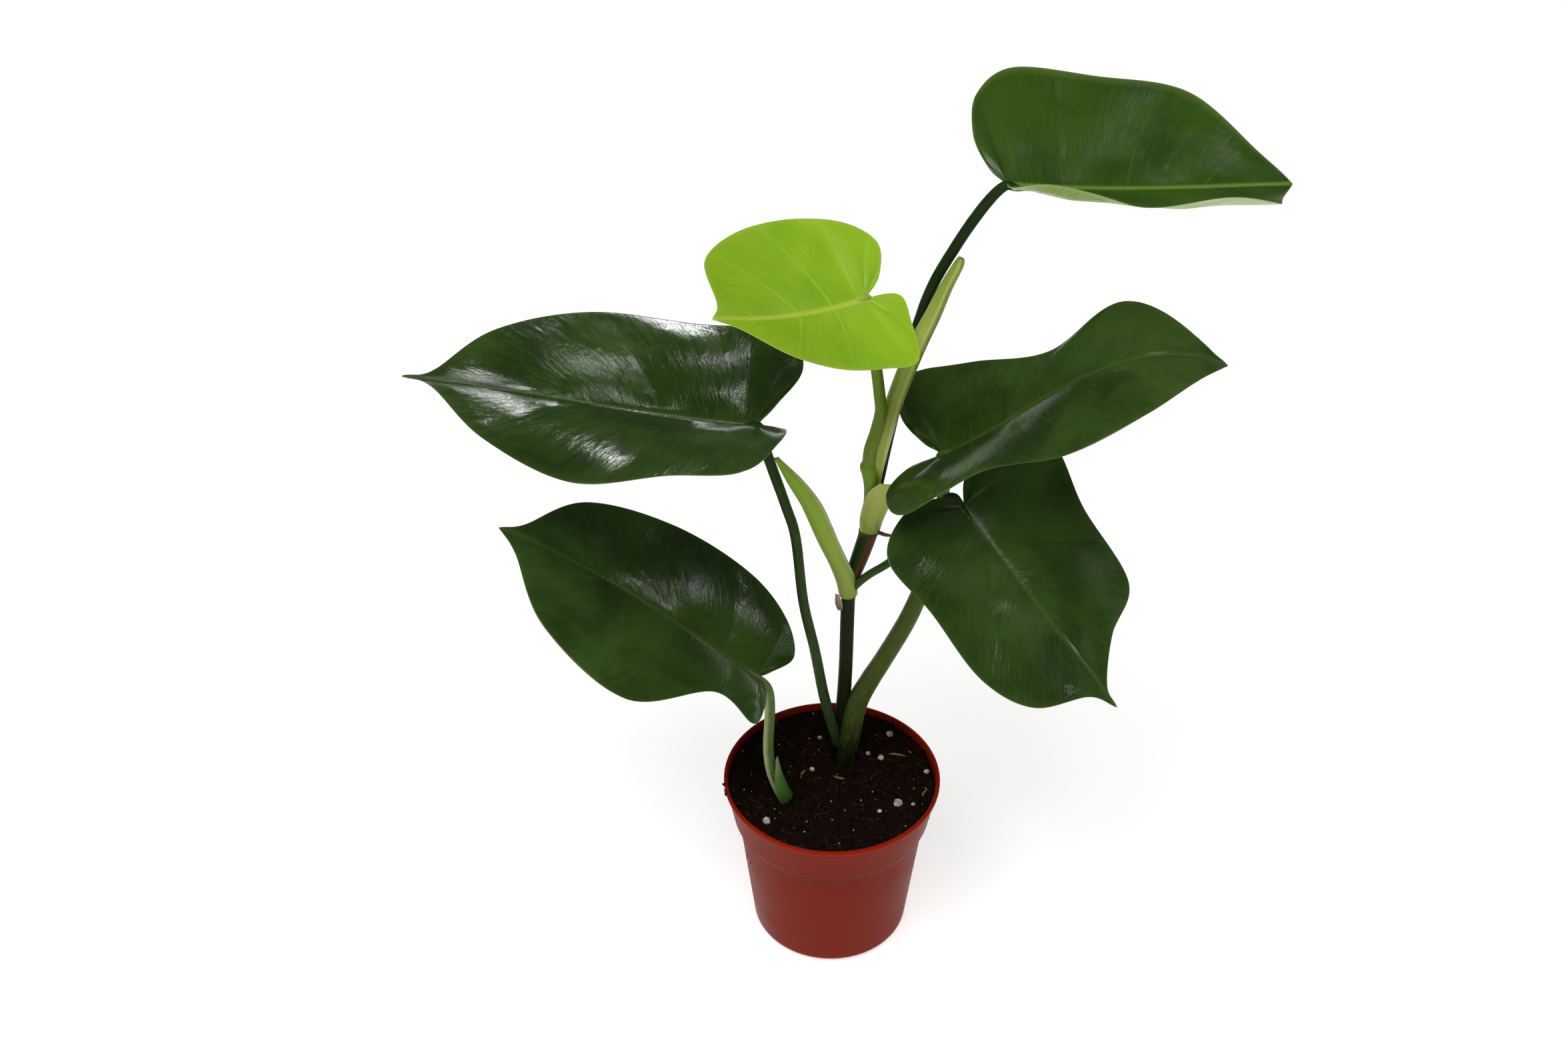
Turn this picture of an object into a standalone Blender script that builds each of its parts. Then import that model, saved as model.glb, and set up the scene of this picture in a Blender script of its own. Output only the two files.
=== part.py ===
"""A young philodendron in a nursery pot: six heart-shaped leaves on stalks, their sheaths, and the soil.

Metres, +Z up. The origin is the centre of the pot's underside, and the plant's front faces -Y.
Heights of the plant are measured up from the soil, so the plant follows the pot when its size changes.
"""

import math
from dataclasses import dataclass

import bmesh
import bpy
import numpy as np
from mathutils import Vector

MM = 0.001
GAP = 0.3 * MM  # left between pieces that touch

# Pot: a blow-moulded body under a flared collar with a thin lip.
POT_HEIGHT = 90 * MM
RIM_DIAMETER = 102 * MM
BASE_DIAMETER = 74 * MM
POT_WALL = 1.2 * MM
FLOOR_THICKNESS = 1.6 * MM
LIP_HEIGHT = 2.4 * MM
LIP_OVERHANG = 1.0 * MM
COLLAR_HEIGHT = 22 * MM
COLLAR_TAPER = 7 * MM  # how much narrower the collar is at its foot, in diameter
COLLAR_STEP = 5 * MM  # how much narrower the body starts, in diameter
STEP_HEIGHT = 4 * MM
BASE_EDGE = 2.5 * MM
DRAIN_HOLES = 6
DRAIN_HOLE_DIAMETER = 8 * MM
DRAIN_CIRCLE_DIAMETER = 48 * MM
POT_SEGMENTS = 40

# Soil
SOIL_BELOW_RIM = 3 * MM
SOIL_UNEVENNESS = 0.7 * MM
SOIL_RINGS = 4
SOIL_TOP = POT_HEIGHT - SOIL_BELOW_RIM

# Roots: a crown under the main stem with tapering roots that run out and down.
STEM_FOOT = (3.5, 15, -14)
CROWN_RADIUS = 5 * MM
ROOTS = 6
ROOT_DIAMETER = 3 * MM
ROOT_TIP_DIAMETER = 1.2 * MM
ROOT_REACH = 0.62  # of the pot's inner radius
ROOT_DEPTH = 0.72  # of the soil's depth

# Leaf blades
BLADE_THICKNESS = 0.8 * MM
MIDRIB_DEPTH = 2.4 * MM
SHEATH_THICKNESS = 0.8 * MM
VEINS = 18
ACROSS = (0, 0.07, 0.35, 0.7, 1)  # where the mesh lines run between the midrib and the margin
FIRST_VEIN = 1 / 16  # where the outermost vein meets the margin, as a share of the margin
LOBE_SHARE = 0.35  # the share of the margin whose veins fan out from the stalk
FAN_POWER = 1.5  # how the veins' starts crowd towards the stalk

LIMB_SIDES = 10

# Limbs, thickest to thinnest. Each point is x, y, height above the soil and radius, in millimetres.
MAIN_STEM = (
    STEM_FOOT + (3.6,),
    (3.5, 15, -6, 3.8),
    (4.0, 15, 8, 3.7),
    (5.0, 15, 30, 3.4),
    (5.8, 13, 60, 3.2),
    (6.0, 12.2, 88, 3.2),
    (6.2, 12, 101, 3.2),
    (6.7, 12, 108, 3.6),
    (8.2, 12, 115, 3.5),
    (11.5, 12, 127, 3.9),
    (14.4, 12, 139, 4.1),
    (15.6, 12, 152, 3.9),
    (15.4, 12, 164, 3.6),
    (13.8, 12, 174, 3.7),
)
STALK_RIGHT = (
    (6.2, 12.5, -9, 4.4),
    (6.6, 12.5, -1, 4.6),
    (8.4, 12.5, 16, 4.9),
    (11.5, 12.5, 37, 4.9),
    (17, 12, 52, 4.6),
    (23.5, 11, 67, 4.3),
    (34, 9, 94, 4.1),
    (41.5, 8, 122, 3.6),
    (45, 7, 145, 3.1),
    (45.5, 4, 168, 2.7),
)
STALK_LEFT = (
    (3.5, 15, 6, 2.4),
    (1.0, 12.5, 20, 2.5),
    (-4.0, 12.5, 42, 2.5),
    (-8.5, 11, 71, 2.4),
    (-14, 8, 103, 2.3),
    (-17.5, 6, 140, 2.3),
    (-22, 5, 159, 2.3),
    (-30, 6, 186, 2.3),
)
STALK_LOWER_LEFT = (
    (-16.5, -12, -20, 2.4),
    (-19, -13.5, -6, 2.7),
    (-21.8, -14, 0, 2.9),
    (-25.5, -13.3, 9, 2.8),
    (-28.5, -12.5, 19, 2.6),
    (-29.8, -11.5, 32, 2.4),
    (-29, -10, 53, 2.4),
    (-30, -9, 65, 2.4),
)
STALK_TOP = (
    (15, 14, 150, 2.2),
    (18, 17, 160, 2.3),
    (20.7, 20, 174, 2.3),
    (23.8, 21.5, 192, 2.3),
    (28.8, 22, 221, 2.3),
    (36.5, 23, 253, 2.3),
    (46.5, 24, 275, 2.3),
    (57, 25, 293, 2.3),
)
STALK_LOWER_RIGHT = (
    (6.6, 12, 103.5, 1.9),
    (9.6, 9.6, 111, 1.9),
    (15, 5, 120.5, 1.8),
    (23, 0, 131, 1.8),
    (33, -4, 145, 1.8),
    (40, -6.5, 161, 1.8),
    (45, -8, 171.5, 1.8),
    (49, -9.5, 174, 1.8),
)
STALK_YOUNG = (
    (13.8, 12, 174, 3.2),
    (14.2, 11, 184, 2.9),
    (16.3, 10, 194, 2.7),
    (17.9, 9, 205, 2.6),
    (17, 8, 215, 2.5),
    (15.3, 8, 228, 2.4),
    (12.5, 9.5, 244, 2.2),
)
ROLLED_LEAF = (
    (15.5, 12.5, 162, 3.0),
    (17.2, 13.0, 176, 3.6),
    (20, 13.6, 192, 4.0),
    (24.6, 14.2, 210, 4.1),
    (31.5, 15, 232, 4.2),
    (38, 15.8, 248, 3.7),
    (43, 16.6, 261, 3.0),
    (47.6, 17.2, 271, 2.4),
    (48.6, 17.4, 274, 1.6),
)
AERIAL_ROOT = ((14.4, 12, 140, 0.9), (19, 8.5, 141, 0.9), (22, 5, 142.5, 0.8), (25, 2, 144.5, 0.4))

# Sheaths: x, y, height above the soil, radius of the hollow, and how far round each side wraps, in degrees.
# facing is the direction that the back of the sheath looks to.
SHEATH_MIDDLE = (
    (6.4, 12, 104.5, 3.8, 100),
    (5.0, 11, 114, 4.2, 100),
    (1.6, 8.5, 127, 4.5, 82),
    (-2.2, 7, 139, 5.2, 72),
    (-5.6, 6, 150, 5.6, 68),
    (-10.2, 5, 163, 5.6, 65),
    (-17.5, 4, 176, 4.6, 60),
    (-25.5, 3.5, 186.5, 1.4, 50),
)
SHEATH_MIDDLE_FACING = (-0.45, -0.85, -0.2)
SHEATH_STEM_TOP = (
    (14.2, 12, 141.5, 4.7, 85),
    (15, 12, 147, 5.1, 100),
    (16.8, 12, 155, 5.8, 100),
    (19, 12.5, 163, 6.6, 88),
    (20.4, 12.5, 169.5, 6.6, 58),
)
SHEATH_STEM_TOP_FACING = (0.65, -0.75, 0.0)
SHEATH_LOWER_LEFT = (
    (-22.4, -13.8, 1.6, 3.7, 95),
    (-24.3, -13.6, 6, 3.7, 90),
    (-26.4, -13, 12, 3.6, 75),
    (-28, -12.6, 18, 3.5, 55),
    (-29.2, -12.2, 26, 3.2, 22),
)
SHEATH_LOWER_LEFT_FACING = (0.95, -0.3, 0.0)
BUD_SCALE = ((2.9, 10.6, 97, 1.2, 60), (2.4, 10.1, 101, 1.6, 70), (1.7, 9.6, 106, 0.9, 50))
BUD_SCALE_FACING = (-0.6, -0.8, 0.1)

# Loose pieces on the soil: compass angle in degrees, distance out as a share of the soil's radius, and
# size in millimetres.
PERLITE = (
    (47, 0.87, 3.2),
    (45, 0.52, 2.2),
    (32, 0.58, 3.0),
    (6, 0.94, 2.8),
    (-28, 0.72, 4.2),
    (-45, 0.64, 2.0),
    (-24, 0.86, 2.0),
    (-138, 0.86, 3.6),
    (143, 0.24, 2.4),
    (101, 0.59, 2.2),
)
# Compass angle and share as above, then the way the sliver lies and its length in millimetres.
BARK_SLIVERS = (
    (26, 0.73, -12, 8),
    (163, 0.29, 62, 6),
    (11, 0.07, 160, 6),
    (-13, 0.93, 60, 5),
)
SLIVER_DIAMETER = 1.2 * MM


@dataclass
class Leaf:
    """One blade, with angles in degrees. The outlines run from stalk to tip in hundredths of the length."""

    base: tuple  # where the stalk meets the blade: x, y and height above the soil, in millimetres
    length: float  # from the stalk to the tip
    heading: float  # compass direction of the midrib, from +X towards +Y
    rise: float  # slope of the midrib at the stalk
    bend: tuple  # what the slope gains by the tip, in proportion to the distance and to its square
    lobe_bend: float  # what the slope gains at one length behind the stalk
    sweep: float  # sideways turn by the tip
    bank: float  # turn about the midrib
    fold: tuple  # lift of each side from the midrib: left at the stalk and the tip, then right
    curl: tuple  # how much each side rolls down by 0.41 lengths out, in the same order
    left: tuple
    right: tuple


LEAVES = {
    "leaf_top": Leaf(
        base=(66, 25, 303.5),
        length=134 * MM,
        heading=21,
        rise=-16,
        bend=(19, -10),
        lobe_bend=21,
        sweep=-2,
        bank=9,
        fold=(19, 16, 30, 2),
        curl=(10, -4, 4, -59),
        left=((-4.5, 6), (-7, 18), (0, 35), (18.5, 49), (47, 44), (76, 36.5), (93, 13)),
        right=((-4, 7), (-7.5, 19.5), (-2, 36.5), (20, 50), (49, 49), (75.5, 31.5), (91, 10)),
    ),
    "leaf_left": Leaf(
        base=(-34, 8, 199),
        length=149 * MM,
        heading=175,
        rise=2,
        bend=(26, -19),
        lobe_bend=23,
        sweep=6,
        bank=-3,
        fold=(26, 0, 17, 6),
        curl=(17, 13, 13, 9),
        left=((-8.5, 5), (-7.5, 18), (0.5, 36), (21.5, 38), (48, 41), (75, 23.5), (91, 4.5)),
        right=((-5, 8), (-11.5, 21.5), (-4.5, 37), (21, 38), (50.5, 37.5), (77, 24), (92, 4)),
    ),
    "leaf_lower_left": Leaf(
        base=(-34.5, -8, 72),
        length=135 * MM,
        heading=172,
        rise=37,
        bend=(7, -23),
        lobe_bend=-7,
        sweep=1,
        bank=-5,
        fold=(19, -5, 14, 4),
        curl=(16, 15, 12, 10),
        left=((-3, 4), (-4, 14), (0, 26.5), (15, 22), (41.5, 41.5), (75, 29.5), (92.5, 7.5)),
        right=((-4, 4.5), (-9.5, 15), (-2, 28), (15, 36), (46, 36), (77, 26.5), (93, 5)),
    ),
    "leaf_right": Leaf(
        base=(43.6, 0, 189.5),
        length=131 * MM,
        heading=-6,
        rise=29,
        bend=(82, -139),
        lobe_bend=23,
        sweep=2,
        bank=3,
        fold=(20, 8, 18, -6),
        curl=(6, 5, 15, 15),
        left=((-6, 7), (-13, 21.5), (-8.5, 35), (17, 30), (45, 17.5), (70, 25), (91, 7)),
        right=((-10, 4), (-17, 18.5), (-9, 33), (17, 26), (46, 34.5), (72.5, 25), (92.5, 8.5)),
    ),
    "leaf_lower_right": Leaf(
        base=(52.7, -12, 171),
        length=105 * MM,
        heading=-45,
        rise=-35,
        bend=(13, -11),
        lobe_bend=0,
        sweep=0,
        bank=8,
        fold=(17, 1, 10, 0),
        curl=(7, 10, 14, 10),
        left=((-9.5, 8.5), (-12.5, 25), (-1, 46), (28.5, 42), (63, 39), (76, 18), (90.5, 3)),
        right=((-7.5, 6.5), (-10.5, 24), (1, 43), (28.5, 41), (60, 40), (81, 29.5), (90.5, 7.5)),
    ),
    "leaf_young": Leaf(
        base=(10.7, 12, 258.7),
        length=84 * MM,
        heading=214,
        rise=1,
        bend=(44, -16),
        lobe_bend=1,
        sweep=3,
        bank=-19,
        fold=(8, 12, 21, 9),
        curl=(15, 3, 7, 5),
        left=((-16.5, 5), (-12, 21.5), (-1, 44), (20, 43), (50, 38), (77, 27.5), (91.5, 7)),
        right=((-12, 8.5), (-20, 25), (-8, 40.5), (20, 50), (52.5, 49), (81, 34.5), (91.5, 8.5)),
    ),
}


def finish(name, colour, roughness):
    """A Principled material; colour is linear red, green and blue."""
    material = bpy.data.materials.new(name)
    material.use_nodes = True
    surface = material.node_tree.nodes["Principled BSDF"]
    surface.inputs["Base Color"].default_value = (*colour, 1)
    surface.inputs["Roughness"].default_value = roughness
    surface.inputs["Metallic"].default_value = 0
    return material


def piece(name, points, faces, material):
    """One object made of these points and faces, with coinciding points merged and faces turned outwards."""
    mesh = bpy.data.meshes.new(name)
    build = bmesh.new()
    vertices = [build.verts.new(point) for point in points]
    for face in faces:
        build.faces.new([vertices[i] for i in face])
    bmesh.ops.remove_doubles(build, verts=build.verts, dist=0.001 * MM)
    bmesh.ops.recalc_face_normals(build, faces=build.faces)
    build.to_mesh(mesh)
    build.free()
    mesh.shade_smooth()
    mesh.set_sharp_from_angle(angle=math.radians(40))
    mesh.materials.append(material)
    made = bpy.data.objects.new(name, mesh)
    bpy.context.scene.collection.objects.link(made)
    return made


def cutter(made):
    """Marks an object as a tool that only shapes other pieces."""
    made.hide_render = True
    made.display_type = "WIRE"
    return made


def carve(made, *tools, solver="EXACT"):
    """Takes the tools out of a piece. The pot's floor and the thin blades need the MANIFOLD solver."""
    for tool in tools:
        boolean = made.modifiers.new(tool.name, "BOOLEAN")
        boolean.operation = "DIFFERENCE"
        boolean.solver = solver
        boolean.object = tool


def merge(made, *others):
    """Joins the others to a piece as one solid."""
    for other in others:
        boolean = made.modifiers.new(other.name, "BOOLEAN")
        boolean.operation = "UNION"
        boolean.object = cutter(other)


def smooth(points, steps):
    """Rows on one smooth curve through the given rows, with so many steps to each span."""
    rows = np.array(points, float)
    rows = np.vstack([2 * rows[0] - rows[1], rows, 2 * rows[-1] - rows[-2]])
    curve = []
    for a, b, c, d in zip(rows, rows[1:], rows[2:], rows[3:]):
        for t in np.arange(steps) / steps:
            cubic = -a + 3 * b - 3 * c + d
            square = 2 * a - 5 * b + 4 * c - d
            curve.append(b + 0.5 * (t * (c - a) + t**2 * square + t**3 * cubic))
    return np.array([*curve, rows[-2]])


def above_soil(rows):
    """The same rows in metres, with their heights measured from the pot's underside."""
    rows = np.array(rows, float) * MM
    rows[:, 2] += SOIL_TOP
    return rows


def strip_faces(rows, across, closed):
    """The faces of a grid of rows; closed joins each row's ends into a ring."""
    faces = []
    for row in range(rows - 1):
        for column in range(across if closed else across - 1):
            following = (column + 1) % across
            here, there = row * across, (row + 1) * across
            faces.append((here + column, here + following, there + following, there + column))
    return faces


def limb(name, rows, material, grow=0, sides=LIMB_SIDES):
    """A round limb along rows of x, y, z and radius in metres. grow makes it fatter and longer."""
    centres = rows[:, :3].copy()
    radii = rows[:, 3] + grow
    centres[0] -= grow * unit(centres[1] - centres[0])
    centres[-1] += grow * unit(centres[-1] - centres[-2])
    side = None
    points = []
    for centre, along, radius in zip(centres, np.gradient(centres, axis=0), radii):
        forward = Vector(along).normalized()
        side = (side or forward.orthogonal()) - forward * forward.dot(side or forward.orthogonal())
        side.normalize()
        other = forward.cross(side)
        for turn in range(sides):
            angle = math.tau * turn / sides
            outwards = math.cos(angle) * side + math.sin(angle) * other
            points.append(Vector(centre) + float(radius) * outwards)
    faces = strip_faces(len(centres), sides, closed=True)
    faces.append(tuple(range(sides)))
    faces.append(tuple(range(len(points) - sides, len(points))))
    return piece(name, points, faces, material)


def unit(vector):
    return vector / np.linalg.norm(vector)


def sheath(name, rows, facing, material, steps=2, across=6):
    """An open sheath along rows of x, y, z, radius and wrap: a curved sheet thickened outwards."""
    rows = smooth(rows, steps)
    wraps = np.radians(rows[:, 4])
    rows = above_soil(rows[:, :4])
    points = []
    for row, along, wrap in zip(rows, np.gradient(rows[:, :3], axis=0), wraps):
        forward = Vector(along).normalized()
        back = Vector(facing) - forward * forward.dot(Vector(facing))
        back.normalize()
        side = forward.cross(back)
        for angle in np.linspace(-wrap, wrap, across):
            outwards = math.cos(angle) * back + math.sin(angle) * side
            points.append(Vector(row[:3]) + float(row[3]) * outwards)
    made = piece(name, points, strip_faces(len(rows), across, closed=False), material)
    centre = Vector(rows[0, :3])
    face = made.data.polygons[across // 2]
    thicken(made, SHEATH_THICKNESS, outwards=face.normal.dot(face.center - centre) > 0)
    return made


def thicken(made, thickness, outwards):
    solidify = made.modifiers.new("thickness", "SOLIDIFY")
    solidify.thickness = thickness
    solidify.offset = 1 if outwards else -1
    return solidify


# Pot and soil


def inner_radius(height):
    """Inside radius of the pot at a height."""
    return float(np.interp(height, *zip(*inner_wall())))


def outer_wall():
    """(height, radius) of the outside from the floor to under the lip."""
    rim = RIM_DIAMETER / 2 - LIP_OVERHANG
    collar = rim - COLLAR_TAPER / 2
    foot = POT_HEIGHT - COLLAR_HEIGHT
    base = BASE_DIAMETER / 2
    return (
        (0, base - BASE_EDGE),
        (0.3 * BASE_EDGE, base - 0.3 * BASE_EDGE),
        (BASE_EDGE, base),
        (foot - STEP_HEIGHT, collar - COLLAR_STEP / 2),
        (foot - 0.25 * STEP_HEIGHT, collar - 0.5 * MM),
        (foot + 0.5 * MM, collar),
        (POT_HEIGHT - LIP_HEIGHT, rim),
    )


def inner_wall():
    """(height, radius) of the inside from the floor to the rim."""
    wall = [(height, radius - POT_WALL) for height, radius in outer_wall()[3:]]
    floor = (FLOOR_THICKNESS, BASE_DIAMETER / 2 - POT_WALL)
    return (floor, *wall, (POT_HEIGHT, wall[-1][1]))


def turned(name, profile, material, lift=None):
    """A solid of revolution. The profile is (radius, height) and starts and ends on the axis.

    lift gives how far to raise the point at x, y and height.
    """
    points = []
    for radius, height in profile:
        for turn in range(POT_SEGMENTS):
            angle = math.tau * turn / POT_SEGMENTS
            x, y = radius * math.cos(angle), radius * math.sin(angle)
            points.append((x, y, height + (lift(x, y, height) if lift else 0)))
    faces = []
    for face in strip_faces(len(profile), POT_SEGMENTS, closed=True):
        corners = {tuple(np.round(points[i], 9)): i for i in face}
        faces.append(tuple(corners.values()))
    return piece(name, points, faces, material)


def make_pot(material):
    outside = [(radius, height) for height, radius in outer_wall()]
    inside = [(radius, height) for height, radius in reversed(inner_wall())]
    lip_radius = RIM_DIAMETER / 2
    lip = [
        (lip_radius, POT_HEIGHT - LIP_HEIGHT),
        (lip_radius, POT_HEIGHT - 0.3 * LIP_HEIGHT),
        (lip_radius - 0.3 * LIP_HEIGHT, POT_HEIGHT),
    ]
    pot = turned("nursery_pot", [(0, 0), *outside, *lip, *inside, (0, FLOOR_THICKNESS)], material)
    for hole in range(DRAIN_HOLES):
        angle = math.tau * (hole + 0.5) / DRAIN_HOLES
        bpy.ops.mesh.primitive_cylinder_add(
            vertices=12,
            radius=DRAIN_HOLE_DIAMETER / 2,
            depth=4 * FLOOR_THICKNESS,
            location=(
                DRAIN_CIRCLE_DIAMETER / 2 * math.cos(angle),
                DRAIN_CIRCLE_DIAMETER / 2 * math.sin(angle),
                0,
            ),
        )
        drill = cutter(bpy.context.object)
        drill.name = f"drain_hole_{hole + 1}"
        carve(pot, drill, solver="MANIFOLD")
    return pot


def soil_bump(x, y):
    """How far the soil stands above or below its mean level: gentle waves."""
    waves = math.sin(170 * x + 60 * y) + math.sin(90 * x - 210 * y + 1) + math.sin(310 * x + 130 * y + 2)
    return SOIL_UNEVENNESS / 3 * waves


def soil_radius():
    return inner_radius(SOIL_TOP) - GAP


def make_soil(material):
    def lift(x, y, height):
        return soil_bump(x, y) if height > SOIL_TOP - GAP else 0

    top = [(soil_radius() * ring / SOIL_RINGS, SOIL_TOP) for ring in range(SOIL_RINGS + 1)]
    wall = [(radius - GAP, height) for height, radius in reversed(inner_wall()[1:])]
    below = [point for point in wall if point[1] < SOIL_TOP - 2 * MM]
    floor = FLOOR_THICKNESS + GAP
    foot = inner_radius(floor) - GAP
    return turned("potting_soil", [*top, *below, (foot, floor), (0, floor)], material, lift)


def soil_place(angle, share):
    """The point of the soil's surface at a compass angle and a share of its radius."""
    x = share * soil_radius() * math.cos(math.radians(angle))
    y = share * soil_radius() * math.sin(math.radians(angle))
    return Vector((x, y, SOIL_TOP + soil_bump(x, y)))


def make_roots(name, material, grow=0):
    """The crown and its roots as one solid."""
    foot = above_soil([STEM_FOOT])[0]
    top = foot - (0, 0, GAP)
    crown_rows = [
        (*top, 0.75 * CROWN_RADIUS),
        (*(top - (0, 0, 0.5 * CROWN_RADIUS)), CROWN_RADIUS),
        (*(top - (0, 0, 1.6 * CROWN_RADIUS)), CROWN_RADIUS),
        (*(top - (0, 0, 2.4 * CROWN_RADIUS)), 0.6 * CROWN_RADIUS),
    ]
    crown = limb(name, np.array(crown_rows), material, grow)
    start = top - (0, 0, CROWN_RADIUS)
    soil_depth = SOIL_TOP - FLOOR_THICKNESS
    roots = []
    for root in range(ROOTS):
        angle = math.tau * (root + 0.3) / ROOTS
        reach = ROOT_REACH * inner_radius(0.3 * SOIL_TOP)
        depth = (ROOT_DEPTH - 0.06 * (root % 3)) * soil_depth
        tip = np.array((reach * math.cos(angle), reach * math.sin(angle), SOIL_TOP - depth))
        middle = 0.45 * start + 0.55 * tip + (0, 0, 0.12 * soil_depth)
        half = ROOT_DIAMETER / 2
        rows = [(*start, half), (*middle, 0.8 * half), (*tip, ROOT_TIP_DIAMETER / 2)]
        roots.append(limb(f"{name}_{root + 1}", smooth(rows, 4), material, grow, sides=6))
    merge(crown, *roots)
    return crown


def make_grain(name, place, size, material, grow=0):
    """A rounded, slightly flattened perlite grain."""
    bpy.ops.mesh.primitive_ico_sphere_add(subdivisions=2, radius=size / 2 + grow, location=place)
    grain = bpy.context.object
    grain.name = name
    for corner, vertex in enumerate(grain.data.vertices):
        vertex.co *= 1 - 0.06 * math.sin(2.1 * corner)
        vertex.co.z *= 0.8
    grain.data.materials.append(material)
    return grain


def sliver_rows(place, heading, length):
    """A thin tapering sliver of bark that lies on the soil."""
    way = Vector((math.cos(math.radians(heading)), math.sin(math.radians(heading)), 0))
    rows = []
    for share, thick in ((-0.5, 0.4), (-0.2, 1), (0.2, 0.9), (0.5, 0.4)):
        centre = place + way * share * length
        centre.z = SOIL_TOP + soil_bump(centre.x, centre.y)
        rows.append((*centre, thick * SLIVER_DIAMETER / 2))
    return np.array(rows)


# Leaves


class Blade:
    """The curved surface of one leaf. It takes a flat place on the leaf to its place in the air."""

    def __init__(self, leaf):
        self.leaf = leaf
        step = leaf.length / 60
        self.distances = np.arange(-24, 61) * step
        forward = self.directions(self.distances + step / 2)[0]
        track = np.cumsum(forward * step, axis=0) - forward * step
        self.track = track - track[24]

    def directions(self, distance):
        """Forward, left and up along the midrib, before the leaf is banked and turned."""
        share = distance / self.leaf.length
        linear, square = self.leaf.bend
        ahead = linear * share + square * share**2
        slope = np.radians(self.leaf.rise + np.where(share > 0, ahead, self.leaf.lobe_bend * share))
        turn = np.radians(self.leaf.sweep * np.maximum(share, 0))
        level = np.zeros_like(turn)
        forward = np.stack([np.cos(slope) * np.cos(turn), np.cos(slope) * np.sin(turn), np.sin(slope)], -1)
        left = np.stack([-np.sin(turn), np.cos(turn), level], -1)
        return forward, left, np.cross(forward, left)

    def place(self, along, out):
        """World points for distances along the midrib and out to its left, negative on the right."""
        leaf = self.leaf
        along = np.asarray(along, float)
        on_midrib = [np.interp(along, self.distances, self.track[:, axis]) for axis in range(3)]
        _, left, up = self.directions(along)
        share = np.clip(along / leaf.length, 0, 1)
        sides = np.sign(out)
        first = np.where(sides >= 0, leaf.fold[0], leaf.fold[2])
        last = np.where(sides >= 0, leaf.fold[1], leaf.fold[3])
        lift = np.radians(first + (last - first) * share)
        first = np.where(sides >= 0, leaf.curl[0], leaf.curl[2])
        last = np.where(sides >= 0, leaf.curl[1], leaf.curl[3])
        curl = np.radians(first + (last - first) * share) / (0.41 * leaf.length)
        curl = np.where(np.abs(curl) < 1e-4, 1e-4, curl)
        end = lift - curl * np.abs(out)
        sideways = sides * (np.sin(lift) - np.sin(end)) / curl
        upwards = (np.cos(end) - np.cos(lift)) / curl
        points = np.stack(on_midrib, -1) + sideways[..., None] * left + upwards[..., None] * up
        return self.turned(points) + above_soil([leaf.base])[0]

    def turned(self, points):
        """The points banked about the midrib's start and turned to the leaf's heading."""
        turns = (self.leaf.rise, self.leaf.bank, self.leaf.heading)
        rise, bank, heading = (math.radians(angle) for angle in turns)
        axis = np.array((math.cos(rise), 0, math.sin(rise)))
        banked = points * math.cos(bank) + np.cross(axis, points) * math.sin(bank)
        banked += np.multiply.outer(points @ axis, axis) * (1 - math.cos(bank))
        x = banked[..., 0] * math.cos(heading) - banked[..., 1] * math.sin(heading)
        y = banked[..., 0] * math.sin(heading) + banked[..., 1] * math.cos(heading)
        return np.stack([x, y, banked[..., 2]], -1)


def margin(outline, length, share):
    """The (along, out) place on one half of the outline at a share of the way from the stalk to the tip."""
    corners = np.array([(0, 0), *outline, (100, 0)]) * length / 100
    curve = smooth(corners, 12)
    at = np.asarray(share) * (len(curve) - 1)
    steps = np.arange(len(curve))
    return np.stack([np.interp(at, steps, curve[:, 0]), np.interp(at, steps, curve[:, 1])], -1)


def make_leaf(name, leaf, material):
    """A blade with a keel along its midrib. Its mesh lines follow the veins, which fan out from the stalk."""
    blade = Blade(leaf)
    shares = np.linspace(FIRST_VEIN, 1, VEINS)
    starts = leaf.length * np.clip((shares - LOBE_SHARE) / (1 - LOBE_SHARE), 0, 1) ** FAN_POWER
    columns = [(-1, part) for part in reversed(ACROSS[1:])] + [(1, part) for part in ACROSS]
    edges = {1: margin(leaf.left, leaf.length, shares), -1: margin(leaf.right, leaf.length, shares)}
    points = []
    for row in range(VEINS):
        for side, part in columns:
            end = edges[side][row]
            along = starts[row] + part * (end[0] - starts[row])
            points.append(blade.place(np.array([along]), np.array([side * part * end[1]]))[0])
    faces = strip_faces(VEINS, len(columns), closed=False)
    faces = [face for face in map(tuple, (distinct(face, points) for face in faces)) if len(face) > 2]
    made = piece(name, points, faces, material)
    upwards = blade.turned(np.cross(*blade.directions(np.array([0.0]))[:2]))[0]
    level = sum(polygon.normal.dot(Vector(upwards)) for polygon in made.data.polygons)
    solidify = thicken(made, MIDRIB_DEPTH, outwards=level < 0)
    keel = made.vertex_groups.new(name="keel")
    midrib = blade.place(blade.distances, 0 * blade.distances)
    for vertex in made.data.vertices:
        on_midrib = np.abs(midrib - np.array(vertex.co)).sum(1).min() < leaf.length / 60
        keel.add([vertex.index], 1 if on_midrib else BLADE_THICKNESS / MIDRIB_DEPTH, "REPLACE")
    solidify.vertex_group = "keel"
    return made, blade


def distinct(face, points):
    """The corners of a face without those that coincide."""
    kept = []
    for corner in face:
        if all(np.linalg.norm(points[corner] - points[other]) > 0.001 * MM for other in kept):
            kept.append(corner)
    return kept


def stalk_end(blade, radius):
    """Where a stalk's last ring goes: behind the blade's base, level with its keel."""
    forward, _, up = (blade.turned(direction)[0] for direction in blade.directions(np.array([0.0])))
    place = above_soil([blade.leaf.base])[0] - forward * 2 * GAP - up * MIDRIB_DEPTH / 2
    return (*place, radius * MM)


def clear_scene():
    for left_over in list(bpy.data.objects):
        bpy.data.objects.remove(left_over)


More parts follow.
